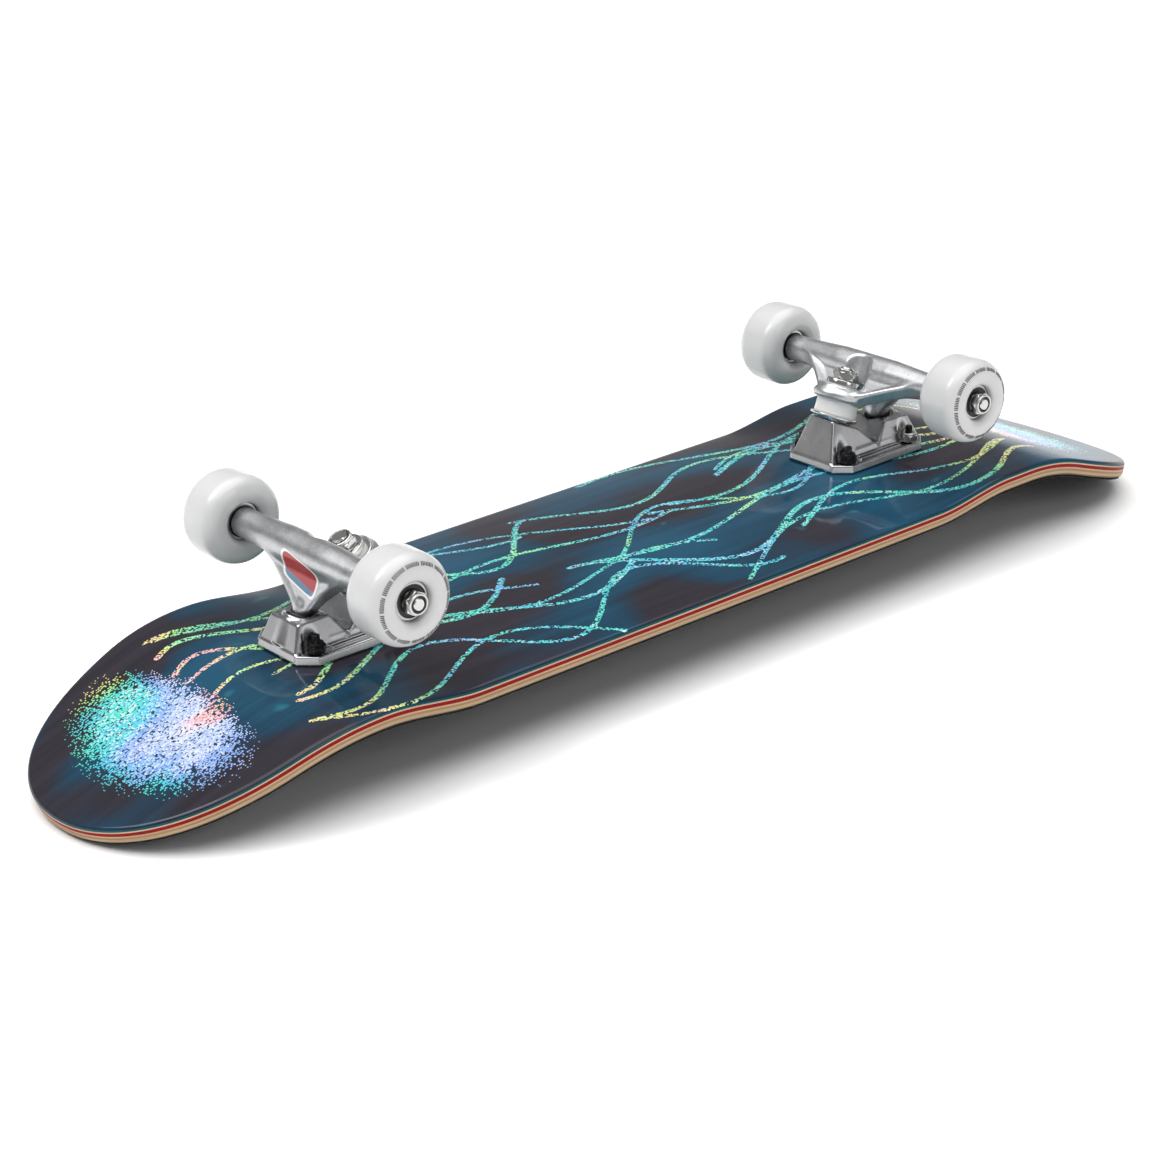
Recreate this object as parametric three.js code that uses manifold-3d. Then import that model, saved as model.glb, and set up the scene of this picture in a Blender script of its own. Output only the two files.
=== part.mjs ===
// A complete street skateboard, standing wheels up on its nose and tail.
// Millimetres. +X points to the nose, +Y across the deck, +Z up.
// The origin is on the floor, midway along the board.

import * as THREE from 'three';
import { mergeVertices } from 'three/addons/utils/BufferGeometryUtils.js';
import Module from 'manifold-3d';

const wasm = await Module();
wasm.setup();

// ---------------------------------------------------------------- driving dimensions

// Deck: seven bent maple plies, measured along its centre line from the middle of the wheelbase.
const DECK_WIDTH = 197;
const DECK_THICKNESS = 10.8;
const HOLE_SPACING = 348.6; // between the inner truck bolts of the two trucks
const CONCAVE_DROP = 6.7; // how far the rails bend down from the flat
const CONCAVE_POWER = 1.6;
const CONCAVE_FLAT = 24; // half-width of the flat along the middle
const CONCAVE_FADE_IN = 26; // the concave starts to fade this far inboard of a truck's centre
const CONCAVE_FADE_OUT = 36; // and is gone this far outboard of it
const NOSE = { flat: 55, radius: 142, angle: 19.34, length: 207, taper: 99.3, shoulder: 2.49, roundness: 2.24 };
const TAIL = { flat: 36.3, radius: 169.6, angle: 19.5, length: 192, taper: 179, shoulder: 3.13, roundness: 2.1 };
const GRIP_THICKNESS = 0.8;
const GRIP_INSET = 1.5;

// Truck hardware: four flat-headed bolts and lock nuts a truck.
const BOLT_SPACING_X = 53.98;
const BOLT_SPACING_Y = 41.28;
const BOLT_RADIUS = 2.4;
const BOLT_HEAD_RADIUS = 4.7;
const BOLT_HEAD_HEIGHT = 2.8;
const BOLT_STICK_OUT = 4.4; // beyond the nut
const NUT_FLATS = 9.5;
const NUT_HEIGHT = 5.6;

// Baseplate.
const PLATE_LENGTH = 80;
const PLATE_WIDTH = 57;
const PLATE_CORNER = 9;
const FLANGE_THICKNESS = 5.4;
const BLOCK_HALF_BASE = 17.5; // half-width of the raised block at the flange
const BLOCK_HALF_TOP = 11.5; // and at the kingpin seat
const SEAT_LENGTH = 21;
const SADDLE_HEIGHT = 11;
const BOSS_RADIUS = 11.5;
const BOSS_STEP = 1; // the boss's mouth stands this far above the block's outboard slope
const BLOCK_INSET = 1; // the block stops this far inside the plate's ends

// Kingpin, leaning outboard at its nut end. Heights are measured along it from the baseplate's seat.
const KINGPIN_LEAN = 24;
const KINGPIN_SEAT_OUTBOARD = -20.3; // from the truck's centre
const KINGPIN_SEAT_HEIGHT = 26.2; // above the deck
const KINGPIN_RADIUS = 4.76;
const KINGPIN_HEAD_RADIUS = 6.9;
const KINGPIN_HEAD_HEIGHT = 5.5;
const KINGPIN_BELOW_SEAT = 18.5;
const KINGPIN_NUT_FLATS = 14.3;
const KINGPIN_NUT_HEIGHT = 6.6;
const KINGPIN_STICK_OUT = 1.2;
const CUP_WASHER_RADIUS = 15;
const CUP_WASHER_THICKNESS = 1.5;
const CUP_WASHER_RIM = 3;
const CUP_WASHER_LIP = 0.3; // how far the rim's inner edge opens
const BOARDSIDE_BUSHING_RADIUS = 13.4;
const BOARDSIDE_BUSHING_HEIGHT = 13;
const ROADSIDE_BUSHING_RADIUS = 11.4;
const ROADSIDE_BUSHING_TOP_RADIUS = 9.6;
const ROADSIDE_BUSHING_HEIGHT = 6.2;
const TOP_WASHER_RADIUS = 10.4;
const TOP_WASHER_THICKNESS = 1.2;

// Pivot cup, in the boss at the outboard end of the baseplate.
const PIVOT_OUTBOARD = 21.6;
const PIVOT_HEIGHT = 18;
const PIVOT_LEAN = 28; // the cup's mouth leans inboard
const PIVOT_CUP_RADIUS = 8.4;
const PIVOT_CUP_WALL = 2.2;
const PIVOT_CUP_DEPTH = 11;
const PIVOT_CUP_LIP = 0.6; // above the mouth
const PIVOT_PIN_RADIUS = 5.2;
const PIVOT_PIN_ROUND = 0.35; // of its tip, as a share of its radius
const PIVOT_PIN_ROOM = 1; // between its tip and the cup's floor

// Hanger.
const AXLE_OUTBOARD = 11.7;
const AXLE_HEIGHT = 52.2; // above the deck
const AXLE_RADIUS = 3.97;
const AXLE_LENGTH = 197.6;
const HANGER_END_RADIUS = 8.6;
const HANGER_MIDDLE_RADIUS = 10;
const YOKE_RADIUS = 17;
const YOKE_WEB = 2.8; // between the two bushing seats
const YOKE_SEAT_DEPTH = 2.4; // of the boardside seat
const YOKE_CUP_DEPTH = 4.4; // of the roadside seat
const YOKE_HOLE_RADIUS = 6.6;
const NUT_SCOOP_RADIUS = 12.9;
const WING_HALF_SPAN = 50;
const WING_THICKNESS = 12;
const WING_SWEEP = { past: 2, back: 8, narrower: 12 }; // how its tip runs past the axle and curves in from it
const YOKE_SWEEP = { wider: 6, narrower: 2 }; // how the wing's root curves round the yoke
const WEB_THICKNESS = 8;
const WEB_SHOULDER = { down: 0.35, wide: 0.55 }; // shares of the web's length and of the wings' half-span
const WEB_WAIST = { down: 0.6, wide: 2.2 }; // shares of the web's length and of the pin's radius

// Wheels and bearings.
const TRACK = 160.6; // between the wheels' centres
const WHEEL_RADIUS = 26;
const WHEEL_WIDTH = 32;
const WHEEL_EDGE_RADIUS = 9.1;
const WHEEL_CORE_RADIUS = 8.5; // between the two bearings
const HUB_FACE_RADIUS = 12.4;
const HUB_FACE_DEPTH = 1; // the hub face lies this far inside the wheel's width
const HUB_MOUTH_DEPTH = 2; // and the bearing seat starts this far inside it
const BEARING_RADIUS = 11;
const BEARING_BORE_CLEARANCE = 0.08;
const BEARING_WIDTH = 7;
const BEARING_SPACER_LENGTH = 9.5;
const BEARING_SPACER_RADIUS = 5.6;
const SPEED_WASHER_ROOM = 0.9; // each bearing leaves room for a thin washer beside it
const AXLE_NUT_FLATS = 12.7;
const AXLE_NUT_HEIGHT = 5.7;

// Clearances.
const REST_GAP = 0.15; // between faces that rest on each other
const TURNED_GAP = 0.3; // the same on a leaning axis
const HOLE_CLEARANCE = 0.35; // round a bolt or the kingpin
const SEAT_CLEARANCE = 0.06; // round a pressed bearing or axle
const NUT_ROOM = 1.2; // round a nut, for a spanner
const OVERRUN = 1; // how far a cutting shape runs past what it cuts
const BOSS_ROOT = 4; // how far the boss runs below the deck's face before it is trimmed flush

// ---------------------------------------------------------------- finishes

const finish = (color, roughness, metalness) => new THREE.MeshStandardMaterial({ color, roughness, metalness });
const PRINTED_MAPLE = finish(0x1d3446, 0.25, 0);
const GRIP_TAPE = finish(0x161617, 0.95, 0);
const CAST_ALUMINIUM = finish(0xb9babb, 0.42, 1);
const POLISHED_ALUMINIUM = finish(0xa5a6a8, 0.25, 1);
const PLATED_STEEL = finish(0xc9c9c7, 0.22, 1);
const BLACK_STEEL = finish(0x17181a, 0.4, 0.6);
const WHITE_URETHANE = finish(0xf1f1ef, 0.3, 0);
const WHITE_RUBBER = finish(0xe4e4e1, 0.4, 0);
const BLACK_PLASTIC = finish(0x121213, 0.5, 0);

// ---------------------------------------------------------------- solids

const radians = (degrees) => THREE.MathUtils.degToRad(degrees);

/** A closed geometry as a solid that can be cut and joined. */
function solidOf(geometry) {
  const bare = geometry.index ? geometry.toNonIndexed() : geometry.clone();
  bare.deleteAttribute('normal');
  bare.deleteAttribute('uv');
  const merged = mergeVertices(bare, 1e-4);
  return new wasm.Manifold(new wasm.Mesh({
    numProp: 3,
    vertProperties: merged.attributes.position.array,
    triVerts: new Uint32Array(merged.index.array),
  }));
}

/** A solid as a geometry with flat-shaded faces. */
function geometryOf(solid) {
  const mesh = solid.getMesh();
  const geometry = new THREE.BufferGeometry();
  geometry.setAttribute('position', new THREE.BufferAttribute(new Float32Array(mesh.vertProperties), 3));
  geometry.setIndex(new THREE.BufferAttribute(new Uint32Array(mesh.triVerts), 1));
  const flat = geometry.toNonIndexed();
  flat.computeVertexNormals();
  return flat;
}

const joined = (geometries) => geometries.map(solidOf).reduce((whole, part) => whole.add(part));
const cut = (solid, geometries) => geometries.map(solidOf).reduce((whole, part) => whole.subtract(part), solid);

/** A named piece of the board. */
function piece(name, geometry, material) {
  const mesh = new THREE.Mesh(geometry, material);
  mesh.name = name;
  return mesh;
}

/** A turned solid about Z, from [radius, height] corners that run anticlockwise to the axis or to their start. */
function turned(corners, sides) {
  const profile = corners.map(([radius, height]) => new THREE.Vector2(radius, height));
  return new THREE.LatheGeometry(profile, sides).rotateX(Math.PI / 2);
}

/** A round bar about Z between two heights. */
const bar = (radius, low, high, sides) => turned([[0, low], [radius, low], [radius, high], [0, high]], sides);

/** The radius of a polygon whose flats just clear a round of the given radius. */
const around = (radius, sides) => radius / Math.cos(Math.PI / sides);

/** A plain ring about Z between two heights. */
function ring(inner, outer, low, high, sides) {
  return turned([[inner, low], [outer, low], [outer, high], [inner, high], [inner, low]], sides);
}

const NUT_BORE_SIDES = 10;

/** A hexagonal nut about Z that stands on a height. */
function hexNut(flats, height, bore, low) {
  const outline = new THREE.Shape();
  const corner = flats / 2 / Math.cos(Math.PI / 6);
  for (let i = 0; i < 6; i += 1) {
    const angle = (i * Math.PI) / 3;
    outline[i ? 'lineTo' : 'moveTo'](corner * Math.cos(angle), corner * Math.sin(angle));
  }
  outline.closePath();
  outline.holes.push(new THREE.Path().absarc(0, 0, around(bore, NUT_BORE_SIDES), 0, 2 * Math.PI, true));
  const settings = { depth: height, bevelEnabled: false, curveSegments: NUT_BORE_SIDES / 2 };
  return new THREE.ExtrudeGeometry(outline, settings).translate(0, 0, low);
}

/** A flat outline of [x, y] corners, given a thickness upwards from z = 0. */
function plate(corners, thickness) {
  const outline = new THREE.Shape(corners.map(([x, y]) => new THREE.Vector2(x, y)));
  return new THREE.ExtrudeGeometry(outline, { depth: thickness, bevelEnabled: false });
}

// ---------------------------------------------------------------- deck and grip tape

const TRUCK_CENTRE = HOLE_SPACING / 2 + BOLT_SPACING_X / 2;
const STRAIGHT_STEP = 90; // between the deck's stations along its straight middle
const BEND_STEP = 22; // and where it bends
const TIP_ZONE = 45; // where stations close up towards a tip
const TIP_STATIONS = 6;
const TIP_END = 0.999; // the share of its length at which an outline ends in a short straight edge
const RAIL_COLUMNS = [0.52, 0.78, 1]; // columns outside the flat, as shares of the half-width

/** Stations along the centre line from the middle to one tip. */
function stations(end, inset) {
  const tip = TRUCK_CENTRE + end.length - inset;
  const bendStart = TRUCK_CENTRE - CONCAVE_FADE_IN;
  const zoneStart = TRUCK_CENTRE + end.length - TIP_ZONE;
  const straightSteps = Math.ceil(bendStart / STRAIGHT_STEP);
  const bendSteps = Math.ceil((zoneStart - bendStart) / BEND_STEP);
  const list = [];
  for (let i = 0; i < straightSteps; i += 1) list.push((bendStart * i) / straightSteps);
  for (let i = 0; i <= bendSteps; i += 1) list.push(bendStart + ((zoneStart - bendStart) * i) / bendSteps);
  for (let i = 1; i <= TIP_STATIONS; i += 1) {
    const share = Math.min(Math.sin((Math.PI / 2) * (i / TIP_STATIONS)), TIP_END);
    list.push(zoneStart + (tip - zoneStart) * share);
  }
  return list;
}

/** Half-width of the outline at a distance from the middle. */
function halfWidth(end, distance, inset) {
  const taperStart = TRUCK_CENTRE + end.length - end.taper;
  const share = THREE.MathUtils.clamp((distance - taperStart) / (end.taper - inset), 0, 1);
  return (DECK_WIDTH / 2 - inset) * (1 - share ** end.shoulder) ** (1 / end.roundness);
}

/** Point of the bent deck: distance along the centre line, place across it and depth below the printed face. */
function deckPoint(end, distance, across, depth) {
  const flatEnd = TRUCK_CENTRE + end.flat;
  const bend = THREE.MathUtils.clamp((distance - flatEnd) / end.radius, 0, radians(end.angle));
  const beyond = Math.max(distance - flatEnd - end.radius * radians(end.angle), 0);
  const [fadeStart, fadeEnd] = [TRUCK_CENTRE - CONCAVE_FADE_IN, TRUCK_CENTRE + CONCAVE_FADE_OUT];
  const fade = THREE.MathUtils.smoothstep(distance, fadeStart, fadeEnd);
  const rise = Math.max(Math.abs(across) - CONCAVE_FLAT, 0) / (DECK_WIDTH / 2 - CONCAVE_FLAT);
  const below = depth + CONCAVE_DROP * (1 - fade) * rise ** CONCAVE_POWER;
  const x = Math.min(distance, flatEnd) + end.radius * Math.sin(bend) + beyond * Math.cos(bend);
  const z = -end.radius * (1 - Math.cos(bend)) - beyond * Math.sin(bend);
  return [x - Math.sin(bend) * below, across, z - Math.cos(bend) * below];
}

/** A sheet that follows the deck between two depths, as one closed surface. */
function deckSheet(top, bottom, inset) {
  const right = [CONCAVE_FLAT / (DECK_WIDTH / 2), ...RAIL_COLUMNS];
  const shares = [...right.toReversed().map((share) => -share), ...right];
  const columns = shares.length;
  const rows = [
    ...stations(TAIL, inset).reverse().map((distance) => ({ end: TAIL, side: -1, distance })),
    ...stations(NOSE, inset).slice(1).map((distance) => ({ end: NOSE, side: 1, distance })),
  ];
  const positions = [];
  for (const depth of [top, bottom]) {
    for (const { end, side, distance } of rows) {
      for (const share of shares) {
        const [x, y, z] = deckPoint(end, distance, share * halfWidth(end, distance, inset), depth);
        positions.push(side * x, y, z);
      }
    }
  }
  const layer = rows.length * columns;
  const at = (row, column) => row * columns + column;
  const faces = [];
  const quad = (a, b, c, d) => faces.push(a, b, c, a, c, d);
  for (let row = 0; row < rows.length - 1; row += 1) {
    for (let column = 0; column < columns - 1; column += 1) {
      const corners = [at(row, column), at(row + 1, column), at(row + 1, column + 1), at(row, column + 1)];
      const [a, b, c, d] = corners;
      quad(a, b, c, d);
      const [e, f, g, h] = corners.map((corner) => corner + layer);
      faces.push(e, g, f, e, h, g);
    }
    for (const [column, flip] of [[0, false], [columns - 1, true]]) {
      const wall = [at(row, column), at(row, column) + layer, at(row + 1, column) + layer, at(row + 1, column)];
      quad(...(flip ? wall.reverse() : wall));
    }
  }
  for (let column = 0; column < columns - 1; column += 1) {
    for (const [row, flip] of [[0, true], [rows.length - 1, false]]) {
      const wall = [at(row, column), at(row, column) + layer, at(row, column + 1) + layer, at(row, column + 1)];
      quad(...(flip ? wall.reverse() : wall));
    }
  }
  const geometry = new THREE.BufferGeometry();
  geometry.setAttribute('position', new THREE.Float32BufferAttribute(positions, 3));
  geometry.setIndex(faces);
  return geometry;
}

/** Every truck bolt's place on the deck. */
const BOLT_PLACES = [];
for (const [end, side] of [['tail', -1], ['nose', 1]]) {
  for (const [reach, alongSide] of [['inner', -1], ['outer', 1]]) {
    for (const [edge, acrossSide] of [['left', 1], ['right', -1]]) {
      BOLT_PLACES.push({
        name: `${end}_${reach}_${edge}`,
        x: side * (TRUCK_CENTRE + (alongSide * BOLT_SPACING_X) / 2),
        y: (acrossSide * BOLT_SPACING_Y) / 2,
      });
    }
  }
}

const GRIP_TOP = DECK_THICKNESS + REST_GAP;
const GRIP_BOTTOM = GRIP_TOP + GRIP_THICKNESS;
const HOLE_SIDES = 10;

/** The bolt holes, countersunk from the riding side. */
function boltHoles() {
  const hole = around(BOLT_RADIUS + HOLE_CLEARANCE, HOLE_SIDES);
  const mouth = around(BOLT_HEAD_RADIUS + HOLE_CLEARANCE, HOLE_SIDES);
  const below = -GRIP_BOTTOM - OVERRUN;
  const coneTop = -GRIP_BOTTOM + BOLT_HEAD_HEIGHT + HOLE_CLEARANCE;
  const profile = [
    [0, below], [mouth, below], [mouth, -GRIP_BOTTOM], [hole, coneTop], [hole, OVERRUN], [0, OVERRUN],
  ];
  return BOLT_PLACES.map(({ x, y }) => turned(profile, HOLE_SIDES).translate(x, y, 0));
}

const deckSolid = cut(solidOf(deckSheet(0, DECK_THICKNESS, 0)), boltHoles());
const gripSolid = cut(solidOf(deckSheet(GRIP_TOP, GRIP_BOTTOM, GRIP_INSET)), boltHoles());

const board = new THREE.Group();
board.add(piece('deck', geometryOf(deckSolid), PRINTED_MAPLE));
board.add(piece('grip_tape', geometryOf(gripSolid), GRIP_TAPE));

// ---------------------------------------------------------------- truck bolts and nuts

const FLANGE_TOP = REST_GAP + FLANGE_THICKNESS;
const NUT_BOTTOM = FLANGE_TOP + REST_GAP;

/** A flat-headed bolt, its head flush with the grip tape. */
function mountingBolt() {
  const low = -GRIP_BOTTOM;
  const high = NUT_BOTTOM + NUT_HEIGHT + BOLT_STICK_OUT;
  const neck = low + BOLT_HEAD_HEIGHT;
  const profile = [[0, low], [BOLT_HEAD_RADIUS, low], [BOLT_RADIUS, neck], [BOLT_RADIUS, high], [0, high]];
  return turned(profile, HOLE_SIDES);
}

for (const { name, x, y } of BOLT_PLACES) {
  const bolt = piece(`${name}_bolt`, mountingBolt(), BLACK_STEEL);
  const lockNut = hexNut(NUT_FLATS, NUT_HEIGHT, BOLT_RADIUS + SEAT_CLEARANCE, NUT_BOTTOM);
  const nut = piece(`${name}_nut`, lockNut, BLACK_STEEL);
  bolt.position.set(x, y, 0);
  nut.position.set(x, y, 0);
  board.add(bolt, nut);
}

// ---------------------------------------------------------------- trucks

// Each truck is built about its own centre on the deck, with +X outboard.

/** Where the kingpin's own frame stands: +Z runs up the pin from the seat. */
const kingpinFrame = new THREE.Matrix4()
  .makeTranslation(KINGPIN_SEAT_OUTBOARD, 0, KINGPIN_SEAT_HEIGHT)
  .multiply(new THREE.Matrix4().makeRotationY(radians(KINGPIN_LEAN)));

/** Where the pivot cup's own frame stands: +Z leaves the mouth. */
const pivotFrame = new THREE.Matrix4()
  .makeTranslation(PIVOT_OUTBOARD, 0, PIVOT_HEIGHT)
  .multiply(new THREE.Matrix4().makeRotationY(radians(-PIVOT_LEAN)));

/** A point of a leaning frame in the truck's frame. */
const fromFrame = (frame, x, y, z) => new THREE.Vector3(x, y, z).applyMatrix4(frame);

// The stack up the kingpin.
const CUP_WASHER_LOW = TURNED_GAP;
const BOARDSIDE_LOW = CUP_WASHER_LOW + CUP_WASHER_THICKNESS + TURNED_GAP;
const BOARDSIDE_HIGH = BOARDSIDE_LOW + BOARDSIDE_BUSHING_HEIGHT;
const YOKE_WEB_LOW = BOARDSIDE_HIGH + TURNED_GAP;
const YOKE_WEB_HIGH = YOKE_WEB_LOW + YOKE_WEB;
const ROADSIDE_LOW = YOKE_WEB_HIGH + TURNED_GAP;
const ROADSIDE_HIGH = ROADSIDE_LOW + ROADSIDE_BUSHING_HEIGHT;
const TOP_WASHER_LOW = ROADSIDE_HIGH + TURNED_GAP;
const TOP_WASHER_HIGH = TOP_WASHER_LOW + TOP_WASHER_THICKNESS;
const KINGPIN_NUT_LOW = TOP_WASHER_HIGH + TURNED_GAP;
const KINGPIN_NUT_HIGH = KINGPIN_NUT_LOW + KINGPIN_NUT_HEIGHT;
const PIN_SIDES = 14;
const STACK_SIDES = 18;
const PIN_HOLE = around(KINGPIN_RADIUS + HOLE_CLEARANCE, PIN_SIDES);
const THROUGH = 60; // long enough to cut right through a truck piece

/** The baseplate: a flanged plate whose drafted block carries the kingpin seat and the pivot cup. */
function baseplate() {
  const half = PLATE_LENGTH / 2;
  const side = PLATE_WIDTH / 2;
  const c = PLATE_CORNER;
  const blockHalf = half - BLOCK_INSET;
  const flange = plate([
    [half - c, -side], [half, -side + c], [half, side - c], [half - c, side],
    [c - half, side], [-half, side - c], [-half, c - side], [c - half, -side],
  ], FLANGE_THICKNESS).translate(0, 0, REST_GAP);

  const seatIn = fromFrame(kingpinFrame, -SEAT_LENGTH / 2, 0, 0);
  const seatOut = fromFrame(kingpinFrame, SEAT_LENGTH / 2, 0, 0);
  const bossTop = fromFrame(pivotFrame, BOSS_RADIUS, 0, 0);
  const profile = plate([
    [-blockHalf, REST_GAP * 2], [blockHalf, REST_GAP * 2], [blockHalf, FLANGE_TOP],
    [bossTop.x, bossTop.z - BOSS_STEP], [PIVOT_OUTBOARD - BOSS_RADIUS, SADDLE_HEIGHT], [0, SADDLE_HEIGHT],
    [seatOut.x, seatOut.z], [seatIn.x, seatIn.z], [-blockHalf, FLANGE_TOP],
  ], PLATE_WIDTH).rotateX(Math.PI / 2).translate(0, side, 0);
  const draft = (BLOCK_HALF_BASE - BLOCK_HALF_TOP) / (KINGPIN_SEAT_HEIGHT - FLANGE_TOP);
  const ceiling = seatIn.z + OVERRUN;
  const narrow = BLOCK_HALF_BASE - draft * (ceiling - FLANGE_TOP);
  const wide = BLOCK_HALF_BASE + draft * FLANGE_TOP;
  const taper = plate([[-wide, 0], [wide, 0], [narrow, ceiling], [-narrow, ceiling]], PLATE_LENGTH)
    .rotateX(Math.PI / 2).rotateZ(Math.PI / 2).translate(-half, 0, 0);
  const block = solidOf(profile).intersect(solidOf(taper));
  const floor = plate([[-half, -side], [half, -side], [half, side], [-half, side]], THROUGH)
    .translate(0, 0, REST_GAP - THROUGH);
  const boss = bar(BOSS_RADIUS, -PIVOT_HEIGHT - BOSS_ROOT, 0, STACK_SIDES).applyMatrix4(pivotFrame);

  const nutRoom = NUT_FLATS / 2 / Math.cos(Math.PI / 6) + NUT_ROOM;
  const headHole = around(KINGPIN_HEAD_RADIUS + HOLE_CLEARANCE, PIN_SIDES);
  const cupHole = around(PIVOT_CUP_RADIUS + TURNED_GAP, STACK_SIDES);
  const cuts = [
    floor,
    bar(PIN_HOLE, -THROUGH, THROUGH, PIN_SIDES).applyMatrix4(kingpinFrame),
    bar(headHole, -THROUGH, TURNED_GAP - KINGPIN_BELOW_SEAT, PIN_SIDES).applyMatrix4(kingpinFrame),
    bar(cupHole, -PIVOT_CUP_DEPTH - TURNED_GAP, THROUGH, STACK_SIDES).applyMatrix4(pivotFrame),
  ];
  for (const x of [-BOLT_SPACING_X / 2, BOLT_SPACING_X / 2]) {
    for (const y of [-BOLT_SPACING_Y / 2, BOLT_SPACING_Y / 2]) {
      const hole = around(BOLT_RADIUS + HOLE_CLEARANCE, HOLE_SIDES);
      cuts.push(bar(hole, -OVERRUN, THROUGH, HOLE_SIDES).translate(x, y, 0));
      cuts.push(bar(nutRoom, FLANGE_TOP, THROUGH, HOLE_SIDES).translate(x, y, 0));
    }
  }
  return geometryOf(cut(solidOf(flange).add(block).add(solidOf(boss)), cuts));
}

/** The kingpin, its round head let into the baseplate from below. */
function kingpin() {
  const shoulder = -KINGPIN_BELOW_SEAT;
  const low = shoulder - KINGPIN_HEAD_HEIGHT;
  const high = KINGPIN_NUT_HIGH + KINGPIN_STICK_OUT;
  return turned([
    [0, low], [KINGPIN_HEAD_RADIUS, low], [KINGPIN_HEAD_RADIUS, shoulder], [KINGPIN_RADIUS, shoulder],
    [KINGPIN_RADIUS, high], [0, high],
  ], PIN_SIDES);
}

/** The cupped washer under the boardside bushing. */
function cupWasher() {
  const floor = CUP_WASHER_LOW + CUP_WASHER_THICKNESS;
  const rim = CUP_WASHER_LOW + CUP_WASHER_RIM;
  const inside = BOARDSIDE_BUSHING_RADIUS + TURNED_GAP;
  return turned([
    [PIN_HOLE, CUP_WASHER_LOW], [inside, CUP_WASHER_LOW], [CUP_WASHER_RADIUS, rim],
    [inside + CUP_WASHER_LIP, rim], [inside, floor], [PIN_HOLE, floor], [PIN_HOLE, CUP_WASHER_LOW],
  ], STACK_SIDES);
}

/** The conical bushing in the yoke's cup. */
function roadsideBushing() {
  return turned([
    [PIN_HOLE, ROADSIDE_LOW], [ROADSIDE_BUSHING_RADIUS, ROADSIDE_LOW],
    [ROADSIDE_BUSHING_TOP_RADIUS, ROADSIDE_HIGH], [PIN_HOLE, ROADSIDE_HIGH], [PIN_HOLE, ROADSIDE_LOW],
  ], STACK_SIDES);
}

/** The pivot cup: a closed-ended sleeve below its mouth. */
function pivotCup() {
  const inside = PIVOT_CUP_RADIUS - PIVOT_CUP_WALL;
  const floor = PIVOT_CUP_WALL - PIVOT_CUP_DEPTH;
  return turned([
    [0, -PIVOT_CUP_DEPTH], [PIVOT_CUP_RADIUS, -PIVOT_CUP_DEPTH], [PIVOT_CUP_RADIUS, PIVOT_CUP_LIP],
    [inside + PIVOT_CUP_LIP, PIVOT_CUP_LIP], [inside, floor], [0, floor],
  ], STACK_SIDES);
}

const WING_SEGMENTS = 7;

/** An outline in a plane that holds the Y axis: `start` to `finish` is its first direction, Y its second. */
function slab(outline, start, finish, thickness) {
  const along = finish.clone().sub(start).normalize();
  const across = new THREE.Vector3(0, 1, 0);
  const frame = new THREE.Matrix4().makeBasis(along, across, along.clone().cross(across)).setPosition(start);
  const settings = { depth: thickness, bevelEnabled: false, curveSegments: WING_SEGMENTS };
  return new THREE.ExtrudeGeometry(outline, settings).translate(0, 0, -thickness / 2).applyMatrix4(frame);
}

const AXLE_BORE = around(AXLE_RADIUS + SEAT_CLEARANCE, PIN_SIDES);
const HANGER_HALF = TRACK / 2 - BEARING_SPACER_LENGTH / 2 - BEARING_WIDTH - SPEED_WASHER_ROOM;

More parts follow.
